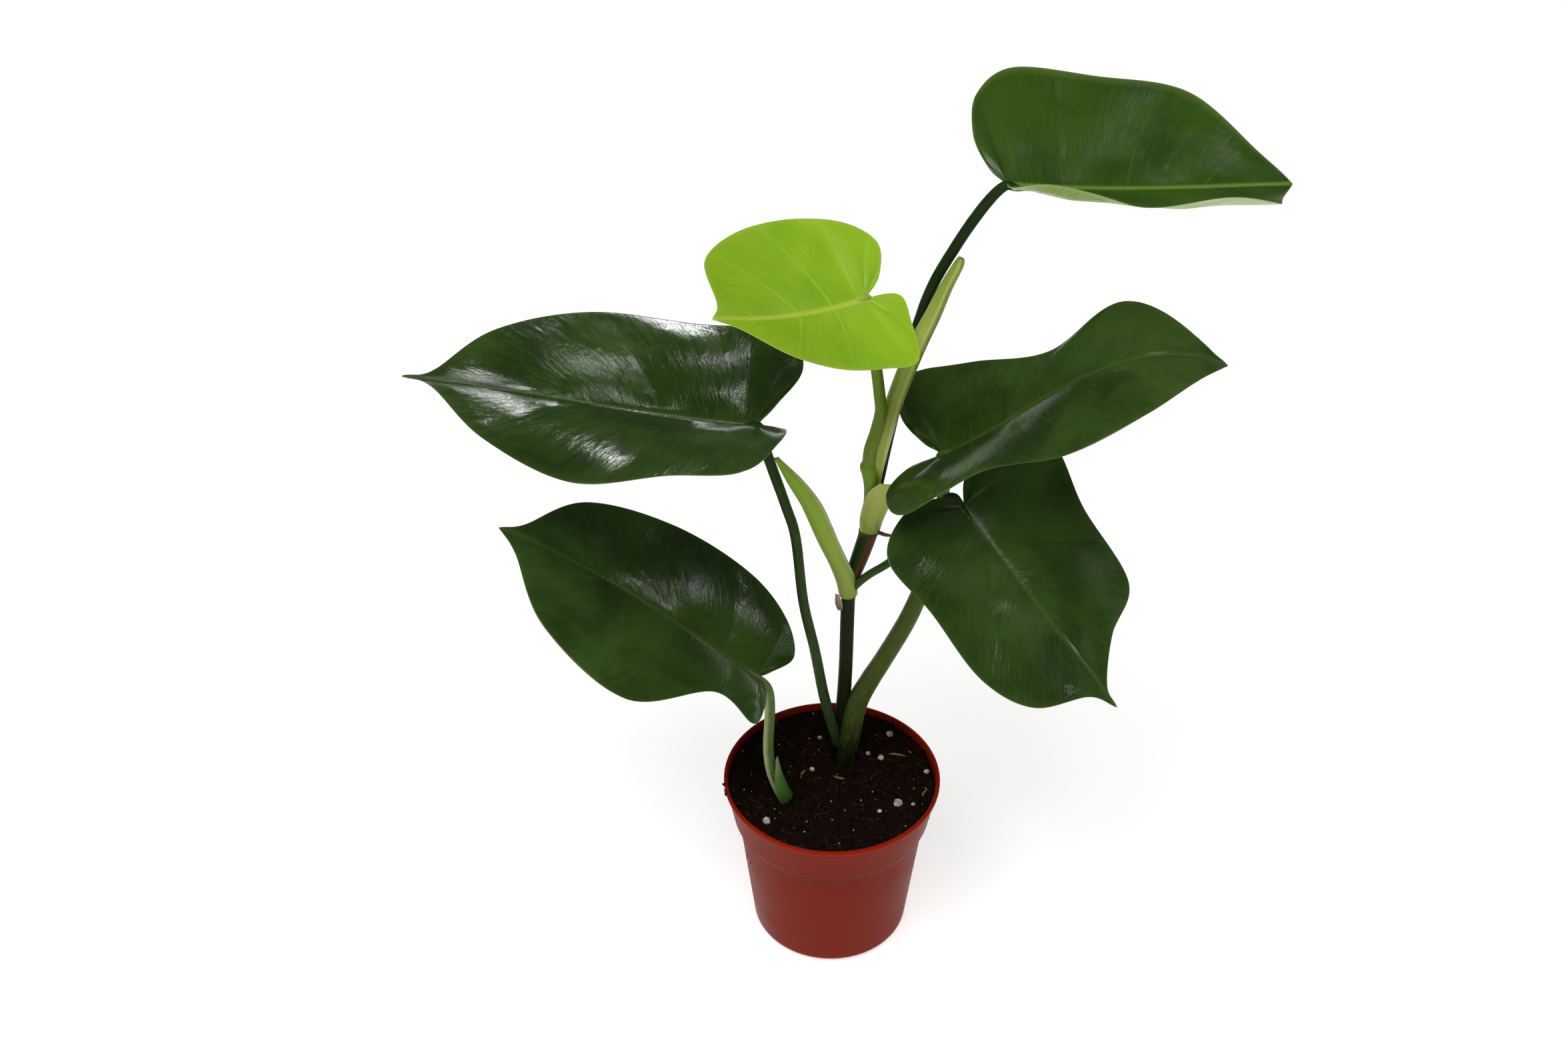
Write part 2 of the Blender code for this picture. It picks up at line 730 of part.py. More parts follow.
def build():
    clear_scene()
    terracotta = finish("terracotta plastic", (0.28, 0.035, 0.018), 0.45)
    peat = finish("peat soil", (0.012, 0.008, 0.005), 0.95)
    dark_green = finish("dark leaf", (0.03, 0.09, 0.012), 0.3)
    mid_green = finish("mature leaf", (0.055, 0.14, 0.018), 0.32)
    lime = finish("young leaf", (0.27, 0.47, 0.03), 0.35)
    stem_green = finish("stem", (0.02, 0.045, 0.01), 0.4)
    stalk_green = finish("stalk", (0.05, 0.09, 0.02), 0.4)
    pale = finish("sheath", (0.3, 0.42, 0.08), 0.45)
    root_brown = finish("root", (0.12, 0.04, 0.02), 0.6)
    perlite = finish("perlite", (0.75, 0.7, 0.65), 0.9)
    bark = finish("bark", (0.35, 0.18, 0.07), 0.85)

    make_pot(terracotta)
    soil = make_soil(peat)

    stem_rows = above_soil(smooth(MAIN_STEM, 2))
    limb("main_stem", stem_rows, stem_green, sides=12)
    stem_clearance = cutter(limb("stem_clearance", stem_rows, stem_green, grow=GAP, sides=12))
    make_roots("roots", root_brown)
    socket = cutter(make_roots("root_socket", root_brown, grow=GAP))
    carve(soil, stem_clearance, socket)

    stalks = {
        "top": (STALK_TOP, dark_green, 2.1),
        "left": (STALK_LEFT, stalk_green, 2.1),
        "lower_left": (STALK_LOWER_LEFT, stalk_green, 2.0),
        "right": (STALK_RIGHT, stalk_green, 2.3),
        "lower_right": (STALK_LOWER_RIGHT, stalk_green, 1.6),
        "young": (STALK_YOUNG, pale, 1.8),
    }
    blade_finish = {"top": mid_green, "young": lime}
    clearances = {}
    made_stalks = {}
    for name, (rows, material, end_radius) in stalks.items():
        made, blade = make_leaf(f"leaf_{name}", LEAVES[f"leaf_{name}"], blade_finish.get(name, dark_green))
        rows = np.vstack([above_soil(rows), stalk_end(blade, end_radius)])
        rows = smooth(rows, 2)
        stalk = limb(f"stalk_{name}", rows, material)
        made_stalks[name] = stalk
        clearance = cutter(limb(f"stalk_{name}_clearance", rows, material, grow=GAP))
        clearances[name] = clearance
        carve(made, clearance, solver="MANIFOLD")
        if name != "lower_left":
            carve(stalk, stem_clearance)
    carve(soil, clearances["right"], clearances["lower_left"])
    carve(made_stalks["left"], clearances["right"])

    rolled_rows = above_soil(smooth(ROLLED_LEAF, 2))
    rolled = limb("rolled_new_leaf", rolled_rows, pale)
    carve(rolled, stem_clearance, clearances["top"], clearances["young"])
    rolled_clearance = cutter(limb("rolled_clearance", rolled_rows, pale, grow=GAP))

    aerial_rows = above_soil(smooth(AERIAL_ROOT, 2))
    aerial_root = limb("aerial_root", aerial_rows, root_brown, sides=8)
    carve(aerial_root, stem_clearance)
    root_clearance = cutter(limb("aerial_root_clearance", aerial_rows, root_brown, GAP, 8))

    middle = sheath("sheath_middle", SHEATH_MIDDLE, SHEATH_MIDDLE_FACING, pale)
    carve(middle, stem_clearance, clearances["left"], clearances["lower_right"])
    stem_top = sheath("sheath_stem_top", SHEATH_STEM_TOP, SHEATH_STEM_TOP_FACING, pale)
    carve(stem_top, stem_clearance, clearances["top"], rolled_clearance, root_clearance)
    low = sheath("sheath_lower_left", SHEATH_LOWER_LEFT, SHEATH_LOWER_LEFT_FACING, stalk_green)
    carve(low, clearances["lower_left"])
    sheath("bud_scale", BUD_SCALE, BUD_SCALE_FACING, bark, steps=2, across=4)

    for number, (angle, share, size) in enumerate(PERLITE, 1):
        place = soil_place(angle, share)
        make_grain(f"perlite_{number}", place, size * MM, perlite)
        carve(soil, cutter(make_grain(f"perlite_{number}_seat", place, size * MM, perlite, grow=GAP)))
    for number, (angle, share, heading, length) in enumerate(BARK_SLIVERS, 1):
        rows = sliver_rows(soil_place(angle, share), heading, length * MM)
        limb(f"bark_sliver_{number}", rows, bark, sides=6)
        carve(soil, cutter(limb(f"bark_sliver_{number}_seat", rows, bark, grow=GAP, sides=6)))


build()
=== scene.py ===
"""A young philodendron in its nursery pot: the looks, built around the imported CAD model."""

import math
from dataclasses import dataclass

import bmesh
import bpy
import numpy as np
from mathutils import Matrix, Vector, noise


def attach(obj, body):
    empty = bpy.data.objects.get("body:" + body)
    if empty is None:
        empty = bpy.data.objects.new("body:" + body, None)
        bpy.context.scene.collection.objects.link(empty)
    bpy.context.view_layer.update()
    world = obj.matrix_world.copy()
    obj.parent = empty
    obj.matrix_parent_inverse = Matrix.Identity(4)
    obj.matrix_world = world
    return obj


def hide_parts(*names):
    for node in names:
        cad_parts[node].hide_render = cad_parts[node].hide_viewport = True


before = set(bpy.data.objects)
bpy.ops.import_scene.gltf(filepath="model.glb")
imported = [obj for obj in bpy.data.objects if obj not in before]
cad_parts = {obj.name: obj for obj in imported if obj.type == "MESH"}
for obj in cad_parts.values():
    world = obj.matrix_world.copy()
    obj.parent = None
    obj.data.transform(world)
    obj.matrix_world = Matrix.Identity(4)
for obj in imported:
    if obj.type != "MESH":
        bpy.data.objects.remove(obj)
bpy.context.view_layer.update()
MM = 0.001

# Studio: a white table under one big soft lamp. Small bright windows behind the plant and to its right show
# in the gloss of its leaves. The camera looks down on the pot from the front.

PLANT_MIDDLE = Vector((0, 0, 0.22))
CAMERA_PLACE = (-0.0226, -0.7414, 0.8112)
CAMERA_DIP = 37.6  # degrees below level
HAZE_TOP = 0.12  # where the pale band above the horizon ends; straight up is 1
HAZE_GREY, SKY_GREY = 0.6, 0.05

# compass angle from +X towards +Y, elevation, distance, width, height, and how bright the lamp looks
LAMPS = {
    "window": (89, 39, 1.9, 0.14, 0.08, 44),
    "high window": (82, 54, 1.9, 0.12, 0.06, 16),
    "top window": (70, 64, 1.9, 0.12, 0.06, 20),
    "side window": (26, 35, 2.2, 0.1, 0.06, 20),
    "pale wall": (38, 48, 2.2, 0.16, 0.12, 2),
    "overhead window": (-4, 65, 1.9, 0.12, 0.08, 16),
    "right lamp": (0, 48, 2.2, 0.5, 0.3, 0.4),
    "soft lamp": (-115, 66, 2.2, 1.6, 1.2, 4.9),
}

bpy.ops.mesh.primitive_plane_add(size=8)
table = bpy.context.object
table.name = "table"
table_white = bpy.data.materials.new("table white")
table_white.use_nodes = True
table_inputs = table_white.node_tree.nodes["Principled BSDF"].inputs
table_inputs["Base Color"].default_value = (0.95, 0.95, 0.95, 1)
table_inputs["Roughness"].default_value = 0.9
table_inputs["Specular IOR Level"].default_value = 0
table_inputs["Emission Color"].default_value = (1, 1, 1, 1)
table_inputs["Emission Strength"].default_value = 0.68
table.data.materials.append(table_white)


def in_scene(name, data):
    """An object of this data, in the scene."""
    made = bpy.data.objects.new(name, data)
    bpy.context.scene.collection.objects.link(made)
    return made


for name, (compass, elevation, distance, width, height, radiance) in LAMPS.items():
    light = bpy.data.lights.new(name, "AREA")
    light.shape = "RECTANGLE"
    light.size, light.size_y = width, height
    light.energy = radiance * math.pi * width * height
    compass, elevation = math.radians(compass), math.radians(elevation)
    level = math.cos(elevation)
    towards = Vector((level * math.cos(compass), level * math.sin(compass), math.sin(elevation)))
    lamp = in_scene(name, light)
    lamp.location = PLANT_MIDDLE + towards * distance
    lamp.rotation_euler = towards.to_track_quat("Z", "Y").to_euler()

sky = bpy.data.worlds.new("studio")
sky.use_nodes = True
sky_nodes, sky_links = sky.node_tree.nodes, sky.node_tree.links
sky_place = sky_nodes.new("ShaderNodeTexCoord")
sky_split = sky_nodes.new("ShaderNodeSeparateXYZ")
sky_ramp = sky_nodes.new("ShaderNodeValToRGB")
for element, level, grey in zip(sky_ramp.color_ramp.elements, (0, HAZE_TOP), (HAZE_GREY, SKY_GREY)):
    element.position = level
    element.color = (grey, grey, grey, 1)
sky_links.new(sky_place.outputs["Generated"], sky_split.inputs[0])
sky_links.new(sky_split.outputs["Z"], sky_ramp.inputs["Fac"])
sky_links.new(sky_ramp.outputs["Color"], sky_nodes["Background"].inputs["Color"])
bpy.context.scene.world = sky
bpy.context.scene.view_settings.view_transform = "Standard"

lens = bpy.data.cameras.new("camera")
lens.lens = 50
camera = in_scene("camera", lens)
camera.location = CAMERA_PLACE
camera.rotation_euler = (math.radians(90 - CAMERA_DIP), 0, 0)
bpy.context.scene.camera = camera

# Pot: a thin blow-moulded nursery pot of brick-red plastic. A body that narrows to the foot stands under
# a flared collar with a rolled lip, and six holes drain the floor. Splashed soil has dried on its side.

# radius, height and fillet radius of each corner, in millimetres, from the underside up to the lip
# and then down inside
POT_PROFILE = (
    (0, 0, 0), (30, 0, 0.2), (30.6, 0.6, 0.2), (34.6, 0.6, 0.6), (37, 2.6, 1.6), (44, 64, 1.2),
    (45.9, 67.2, 0.8), (46.6, 68.6, 0.8), (50, 87.4, 0.3), (51, 87.8, 0.5), (51, 89.6, 0.7), (49.4, 90, 0.5),
    (48.8, 87.4, 0.8), (45.3, 68.4, 1), (42.8, 64, 1), (35.8, 3.4, 1.4), (34, 1.6, 0.6), (0, 1.6, 0),
)
POT_SIDE = POT_PROFILE[4:11]
POT_SEGMENTS = 144
DRAIN_HOLES = 6
DRAIN_RADIUS = 4 * MM
DRAIN_CIRCLE = 24 * MM


def rounded(corners, steps=4):
    """A profile with each corner rounded by its fillet radius."""
    points = []
    for number, (x, y, fillet) in enumerate(corners):
        corner = np.array((x, y), float)
        if not fillet:
            points.append(corner)
            continue
        before = np.array(corners[number - 1][:2], float) - corner
        after = np.array(corners[number + 1][:2], float) - corner
        start = corner + before * min(0.45, fillet / np.linalg.norm(before))
        end = corner + after * min(0.45, fillet / np.linalg.norm(after))
        for t in np.linspace(0, 1, steps):
            points.append((1 - t) ** 2 * start + 2 * t * (1 - t) * corner + t**2 * end)
    return np.array(points) * MM


def welded(name, points, faces, surface_place=None, numbers=None):
    """A mesh whose coinciding points are one. Each point may keep a place on the surface, and numbers."""
    points = np.asarray(points, float)
    _, first, index = np.unique(np.round(points / 1e-6), axis=0, return_index=True, return_inverse=True)
    index = index.reshape(-1)
    rings = [[c for n, c in enumerate(face) if index[c] != index[face[n - 1]]] for face in faces]
    rings = [ring for ring in rings if len(ring) > 2]
    mesh = bpy.data.meshes.new(name)
    mesh.from_pydata(points[first].tolist(), [], [[int(index[c]) for c in ring] for ring in rings])
    if surface_place is not None:
        layer = mesh.uv_layers.new(name="place")
        layer.data.foreach_set("uv", np.asarray(surface_place, np.float32)[np.concatenate(rings)].ravel())
    for label, values in (numbers or {}).items():
        kept = mesh.attributes.new(label, "FLOAT", "POINT")
        kept.data.foreach_set("value", np.asarray(values, np.float32)[first])
    mesh.validate()
    mesh.shade_smooth()
    return mesh


def placed(name, mesh, finish, slot, *stands_for):
    """An object of this mesh and finish that rides on the plant's one body and stands for CAD nodes."""
    made = in_scene(name, mesh)
    mesh.materials.clear()
    mesh.materials.append(finish)
    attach(made, "root")
    if stands_for:
        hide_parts(*stands_for)
    return made


def grid_faces(rows, columns, ring=False):
    """The faces of a grid of points, row by row; ring joins the ends of each row."""
    faces = []
    for row in range(0, (rows - 1) * columns, columns):
        for column in range(columns if ring else columns - 1):
            across = (column + 1) % columns
            faces.append((row + column, row + across, row + columns + across, row + columns + column))
    return faces


def sheet_faces(rows, columns):
    """The faces of a closed sheet: a grid of points, a second grid behind it, and the rim between them."""
    count = rows * columns
    front = grid_faces(rows, columns)
    back = [tuple(corner + count for corner in face[::-1]) for face in front]
    border = [*range(columns)]
    border += [row * columns + columns - 1 for row in range(1, rows)]
    border += [(rows - 1) * columns + column for column in range(columns - 2, -1, -1)]
    border += [row * columns for row in range(rows - 2, 0, -1)]
    edges = zip(border, border[1:] + border[:1])
    rim = [(there, here, here + count, there + count) for here, there in edges]
    return front + back + rim


def swept(radius, height, turns):
    """The points of a profile at every turn about the axis, ring by ring."""
    return np.stack([radius * np.cos(turns), radius * np.sin(turns), height + 0 * turns], -1).reshape(-1, 3)


def turned(name, profile, lift=None):
    """A closed solid of revolution from a profile that starts and ends on the axis and runs up outside."""
    points = swept(profile[:, :1], profile[:, 1:], np.arange(POT_SEGMENTS) * math.tau / POT_SEGMENTS)
    if lift:
        points[:, 2] += [lift(*point) for point in points]
    return welded(name, points, grid_faces(len(profile), POT_SEGMENTS, ring=True))


def settled(made):
    """The plain mesh that an object's modifiers make."""
    graph = bpy.context.evaluated_depsgraph_get()
    evaluated = made.evaluated_get(graph)
    return bpy.data.meshes.new_from_object(evaluated, preserve_all_data_layers=True, depsgraph=graph)


class Nodes:
    """A node tree in the making."""

    def add(self, kind, inputs=(), **settings):
        """The outputs of a new node, whose inputs are set to values or joined to other outputs."""
        node = self.tree.nodes.new(kind)
        for setting, value in settings.items():
            setattr(node, setting, value)
        for socket, value in inputs:
            if isinstance(value, bpy.types.NodeSocket):
                self.tree.links.new(value, node.inputs[socket])
            else:
                node.inputs[socket].default_value = value
        return node.outputs

    def math(self, operation, first, second=0.0, third=0.0):
        return self.add("ShaderNodeMath", [(0, first), (1, second), (2, third)], operation=operation)[0]

    def times(self, first, second):
        return self.math("MULTIPLY", first, second)


class Finish(Nodes):
    """A material in the making: each call adds a node and gives its output."""

    def __init__(self, name, roughness=0.5, shine=0.5):
        self.material = bpy.data.materials.new(name)
        self.material.use_nodes = True
        self.tree = self.material.node_tree
        self.shader = self.tree.nodes["Principled BSDF"]
        self.shader.inputs["Roughness"].default_value = roughness
        self.shader.inputs["Specular IOR Level"].default_value = shine
        self.place = self.add("ShaderNodeTexCoord")["Object"]

    def noise(self, scale, detail=3, place=None, stretch=(1, 1, 1), distortion=0, rough=0.55):
        """Cloudy variation from 0 to 1, with so many clouds to the metre, or to the unit of place."""
        spread = self.add("ShaderNodeMapping", [("Vector", place or self.place), ("Scale", stretch)])[0]
        cloud = [("Vector", spread), ("Scale", scale), ("Detail", detail), ("Roughness", rough)]
        return self.add("ShaderNodeTexNoise", [*cloud, ("Distortion", distortion)])["Fac"]

    def value(self, label):
        """A number kept at the mesh's points."""
        return self.add("ShaderNodeAttribute", attribute_name=label)["Fac"]

    def on_surface(self):
        """The place on the surface that the mesh keeps."""
        return self.add("ShaderNodeUVMap", uv_map="place")["UV"]

    def part(self, vector, axis):
        return self.add("ShaderNodeSeparateXYZ", [(0, vector)])[axis]

    def facing(self, axis):
        """How far the surface faces along an axis, from -1 to 1."""
        return self.part(self.add("ShaderNodeNewGeometry")["Normal"], axis)

    def band(self, value, low, high, bottom=0.0, top=1.0):
        """A smooth step: bottom where value is under low, and top where it is over high."""
        ends = [("Value", value), ("From Min", low), ("From Max", high), ("To Min", bottom), ("To Max", top)]
        return self.add("ShaderNodeMapRange", ends, interpolation_type="SMOOTHSTEP")["Result"]

    def blend(self, share, *colours):
        """Two colours mixed: all first where share is 0, and all second where it is 1."""
        first, second = (c if isinstance(c, bpy.types.NodeSocket) else (*c, 1) for c in colours)
        return self.add("ShaderNodeMix", [(0, share), (6, first), (7, second)], data_type="RGBA")[2]

    def zones(self, value, stops):
        """A colour that runs through the stops: each is a share, then red, green and blue."""
        colour = self.add("ShaderNodeValToRGB", [("Fac", value)])["Color"]
        elements = self.tree.nodes[-1].color_ramp.elements
        while len(elements) < len(stops):
            elements.new(0.5)
        for element, (share, *shade) in zip(elements, stops):
            element.position = share
            element.color = (*shade, 1)
        return colour

    def paint(self, colour, roughness=None):
        self.tree.links.new(colour, self.shader.inputs["Base Color"])
        if roughness is not None:
            self.tree.links.new(roughness, self.shader.inputs["Roughness"])

    def relief(self, height, depth, strength=1.0):
        """Small bumps, depth metres from lowest to highest."""
        bump = self.add("ShaderNodeBump", [("Height", height), ("Distance", depth), ("Strength", strength)])
        self.tree.links.new(bump["Normal"], self.shader.inputs["Normal"])


def cloudy(name, fineness, detail, dark, pale, roughness, shine=0.5, depth=0.0, bumps=None):
    """A finish that clouds from dark to pale. Where depth isn't 0 the clouds, or finer bumps, stand out."""
    made = Finish(name, roughness, shine)
    cloud = made.noise(fineness, detail)
    made.paint(made.blend(cloud, dark, pale))
    if depth:
        made.relief(made.noise(bumps) if bumps else cloud, depth)
    return made.material


plastic = Finish("brick-red plastic", shine=0.03)
plastic_height = plastic.part(plastic.place, "Z")
plastic_cloud = plastic.noise(38, detail=4)
plastic_body = plastic.blend(plastic_cloud, (0.18, 0.014, 0.006), (0.245, 0.024, 0.01))
plastic_lip = plastic.blend(plastic_cloud, (0.31, 0.014, 0.003), (0.42, 0.026, 0.006))
plastic_tone = plastic.blend(plastic.band(plastic_height, 0.0868, 0.0876), plastic_body, plastic_lip)
# Painted shade: a band round the underside of the collar step is darkened towards near black, as the shade
# under the step.
plastic_step_painted_shade = plastic.times(
    plastic.band(plastic_height, 0.0625, 0.065, 0, 0.6), plastic.band(plastic_height, 0.067, 0.0695, 1, 0)
)
plastic_tone = plastic.blend(plastic_step_painted_shade, plastic_tone, (0.07, 0.006, 0.003))
plastic_dust = plastic.band(plastic.noise(120, detail=5, stretch=(1, 1, 0.4)), 0.6, 0.84, 0, 0.06)
plastic_tone = plastic.blend(plastic_dust, plastic_tone, (0.5, 0.2, 0.14))
plastic_stain = plastic.times(
    plastic.band(plastic.noise(260), 0.7, 0.76, 0, 0.55), plastic.band(plastic_height, 0.035, 0.08)
)
plastic_tone = plastic.blend(plastic_stain, plastic_tone, (0.05, 0.014, 0.008))
plastic.paint(plastic_tone, plastic.band(plastic_cloud, 0.3, 0.7, 0.34, 0.46))
plastic_rings = plastic.noise(60, detail=2, stretch=(0.2, 0.2, 5))
plastic_grain = plastic.noise(900, detail=2)
plastic.relief(plastic.math("MULTIPLY_ADD", plastic_grain, 0.25, plastic_rings), 0.12 * MM, 0.5)

pot_mesh = turned("pot", rounded(POT_PROFILE))
pot_mesh.set_sharp_from_angle(angle=math.radians(50))
pot_blank = in_scene("pot_blank", pot_mesh)
drills = []
for hole in range(DRAIN_HOLES):
    turn = math.tau * (hole + 0.5) / DRAIN_HOLES
    bpy.ops.mesh.primitive_cylinder_add(
        vertices=32,
        radius=DRAIN_RADIUS,
        depth=8 * MM,
        location=(DRAIN_CIRCLE * math.cos(turn), DRAIN_CIRCLE * math.sin(turn), 0),
    )
    drills.append(bpy.context.object)
    drilling = pot_blank.modifiers.new("drain hole", "BOOLEAN")
    drilling.operation = "DIFFERENCE"
    drilling.solver = "MANIFOLD"
    drilling.object = bpy.context.object
pot_drilled = settled(pot_blank)
for used in (*drills, pot_blank):
    bpy.data.objects.remove(used)
placed("pot", pot_drilled, plastic.material, "terracotta_plastic", "nursery_pot")

# Soil: dark peat filled to just under the rim. Its top is crumbly, and loose crumbs, pale grit and thin
# root fibres lie on it, each scattered from one seed.

SOIL_TOP = 87 * MM
SOIL_RADIUS = 48.1 * MM
SOIL_SWELL = 0.7 * MM  # how far the waves of the soil stand above its mean level
SOIL_SIDE = ((0, 1.9), (34, 1.9), (35.3, 4), (42.4, 64), (45, 68.5), (47.6, 83))
PEAT_DARKEST = (0.004, 0.0022, 0.0016)
TOP_LEVEL, SIDE_LEVEL = 0.5, -1.0  # grains keep to where a surface faces up by more than this


def soil_wave(x, y):
    """How far the soil stands above or below its mean level: gentle waves."""
    waves = math.sin(170 * x + 60 * y) + math.sin(90 * x - 210 * y + 1) + math.sin(310 * x + 130 * y + 2)
    return SOIL_SWELL / 3 * waves


def soil_lift(x, y, z):
    """Waves, then lumps a few millimetres across and crumbs under a millimetre, on the top only."""
    if z < SOIL_TOP - 0.1 * MM:
        return 0
    lumps = noise.noise(Vector((x, y, 0.3)) * 260) * 0.9 * MM
    crumbs = noise.noise(Vector((x, y, 0.7)) * 800) * 0.45 * MM
    return soil_wave(x, y) + lumps + crumbs


peat = Finish("peat soil", roughness=0.95, shine=0.03)
peat_clod = peat.noise(420, detail=5, rough=0.7)
peat_fleck = peat.band(peat.noise(1500, detail=2), 0.68, 0.74)
peat_tone = peat.blend(peat_clod, PEAT_DARKEST, (0.022, 0.011, 0.007))
peat.paint(peat.blend(peat_fleck, peat_tone, (0.11, 0.055, 0.03)))
peat.relief(peat_clod, 1.2 * MM, 0.9)
soil_rings = np.linspace(SOIL_RADIUS, 0, 60)[:, None]
soil_top = np.hstack([soil_rings, np.full_like(soil_rings, SOIL_TOP)])
soil_profile = np.vstack([np.array(SOIL_SIDE) * MM, soil_top])
soil_mesh = turned("soil", soil_profile, soil_lift)
placed("soil", soil_mesh, peat.material, "potting_soil", "potting_soil")


class Recipe(Nodes):
    """A Geometry Nodes tree in the making, with named inputs for its sizes."""

    def __init__(self, name, **sizes):
        self.tree = bpy.data.node_groups.new(name, "GeometryNodeTree")
        self.tree.interface.new_socket("Geometry", in_out="INPUT", socket_type="NodeSocketGeometry")
        self.tree.interface.new_socket("Geometry", in_out="OUTPUT", socket_type="NodeSocketGeometry")
        kinds = {float: "NodeSocketFloat", int: "NodeSocketInt"}
        for label, default in sizes.items():
            socket = self.tree.interface.new_socket(label, in_out="INPUT", socket_type=kinds[type(default)])
            socket.default_value = default
        self.tree.interface.new_socket("Finish", in_out="INPUT", socket_type="NodeSocketMaterial")
        self.given = self.tree.nodes.new("NodeGroupInput").outputs

    def real(self, geometry):
        return self.add("GeometryNodeRealizeInstances", [("Geometry", geometry)])[0]

    def strewn(self, points, grain, turn, size):
        """Real copies of a grain at the points."""
        copies = [("Points", points), ("Instance", grain), ("Rotation", turn), ("Scale", size)]
        return self.real(self.add("GeometryNodeInstanceOnPoints", copies)[0])

    def pushed(self, geometry, way, distance):
        """The geometry with each point moved along a direction."""
        offset = self.add("ShaderNodeVectorMath", [(0, way), ("Scale", distance)], operation="SCALE")[0]
        return self.add("GeometryNodeSetPosition", [("Geometry", geometry), ("Offset", offset)])[0]

    def kept(self, geometry, label, value):
        """The geometry with a number kept at its points."""
        inputs = [("Geometry", geometry), ("Name", label), ("Value", value)]
        return self.add("GeometryNodeStoreNamedAttribute", inputs, data_type="FLOAT", domain="POINT")[0]

    def end(self, geometry):
        """Realizes the instances, sets the finish and closes the tree."""
        smooth = self.add("GeometryNodeSetShadeSmooth", [("Geometry", self.real(geometry))])[0]
        finish = ("Material", self.given["Finish"])
        done = self.add("GeometryNodeSetMaterial", [("Geometry", smooth), finish])[0]
        self.tree.links.new(done, self.tree.nodes.new("NodeGroupOutput").inputs[0])

    def make(self, start, finish, **sizes):
        """The plain mesh that the tree makes from a starting mesh."""
        holder = in_scene(self.tree.name, start)
        steps = holder.modifiers.new("recipe", "NODES")
        steps.node_group = self.tree
        for socket in self.tree.interface.items_tree:
            if socket.in_out == "INPUT" and socket.name in sizes:
                steps[socket.identifier] = sizes[socket.name]
            if socket.in_out == "INPUT" and socket.name == "Finish":
                steps[socket.identifier] = finish
        made = settled(holder)
        bpy.data.objects.remove(holder)
        return made


def scatter_recipe(name, shape):
    """Grains of a shape strewn where a surface faces up by more than Level, turned and sized at random."""
    recipe = Recipe(name, Density=100.0, Smallest=0.5, Largest=1.0, Seed=0, Squash=0.7, Level=0.5)
    given = recipe.given
    seed = ("Seed", given["Seed"])
    up = recipe.add("ShaderNodeSeparateXYZ", [(0, recipe.add("GeometryNodeInputNormal")[0])])["Z"]
    level = ("Selection", recipe.math("GREATER_THAN", up, given["Level"]))
    where = [("Mesh", given["Geometry"]), level, ("Density", given["Density"]), seed]
    points = recipe.add("GeometryNodeDistributePointsOnFaces", where)[0]
    turns = [("Min", (0, 0, 0)), ("Max", (math.tau, math.tau, math.tau)), seed]
    any_turn = recipe.add("FunctionNodeRandomValue", turns, data_type="FLOAT_VECTOR")[0]
    range_of_size = [(2, given["Smallest"]), (3, given["Largest"]), seed]
    size = recipe.add("FunctionNodeRandomValue", range_of_size, data_type="FLOAT")[1]
    recipe.end(shape(recipe, points, any_turn, size))
    return recipe


def crumb(recipe, points, any_turn, size):
    """Rough grains: rounded lumps whose surface is pushed in and out by the cloudy noise around them."""
    ball = recipe.add("GeometryNodeMeshIcoSphere", [("Radius", 1 * MM), ("Subdivisions", 2)])[0]
    squash = recipe.add("ShaderNodeCombineXYZ", [(0, 1.0), (1, 0.8), (2, recipe.given["Squash"])])[0]
    flat = recipe.add("GeometryNodeTransform", [("Geometry", ball), ("Scale", squash)])[0]
    whole = recipe.strewn(points, flat, any_turn, size)
    cloud = recipe.add("ShaderNodeTexNoise", [("Scale", 1500.0), ("Detail", 2.0)])["Color"]
    middle = recipe.add("ShaderNodeVectorMath", [(0, cloud), (1, (0.5, 0.5, 0.5))], operation="SUBTRACT")[0]
    return recipe.pushed(whole, middle, 1.1 * MM)


def fibre(recipe, points, any_turn, size):
    """Thin root hairs: each is a bent thread that lies flat."""
    bend = recipe.add(
        "GeometryNodeCurvePrimitiveBezierSegment",
        [
            ("Resolution", 7),
            ("Start", (-1 * MM, 0, 0.1 * MM)),
            ("Start Handle", (-0.4 * MM, 0.7 * MM, 0.3 * MM)),
            ("End Handle", (0.3 * MM, -0.5 * MM, 0.1 * MM)),
            ("End", (1 * MM, 0.2 * MM, 0.3 * MM)),
        ],
    )[0]
    turn = recipe.add("ShaderNodeSeparateXYZ", [(0, any_turn)])["Z"]
    threads = recipe.strewn(points, bend, recipe.add("ShaderNodeCombineXYZ", [(2, turn)])[0], size)
    section = recipe.add("GeometryNodeCurvePrimitiveCircle", [("Resolution", 4), ("Radius", 0.11 * MM)])[0]
    skin = [("Curve", threads), ("Profile Curve", section), ("Fill Caps", True)]
    return recipe.add("GeometryNodeCurveToMesh", skin)[0]


def pot_patch(compass, heights):
    """A patch of the pot's outside between two compass angles in degrees and two heights in millimetres."""
    wall = sorted((height, radius) for radius, height, _ in POT_SIDE)
    turns, levels = np.radians(np.linspace(*compass, 24)), np.linspace(*heights, 12)
    reach = np.interp(levels, *zip(*wall))[:, None] * MM
    points = swept(reach, levels[:, None] * MM, turns)
    return welded("pot patch", points, grid_faces(len(levels), len(turns)))


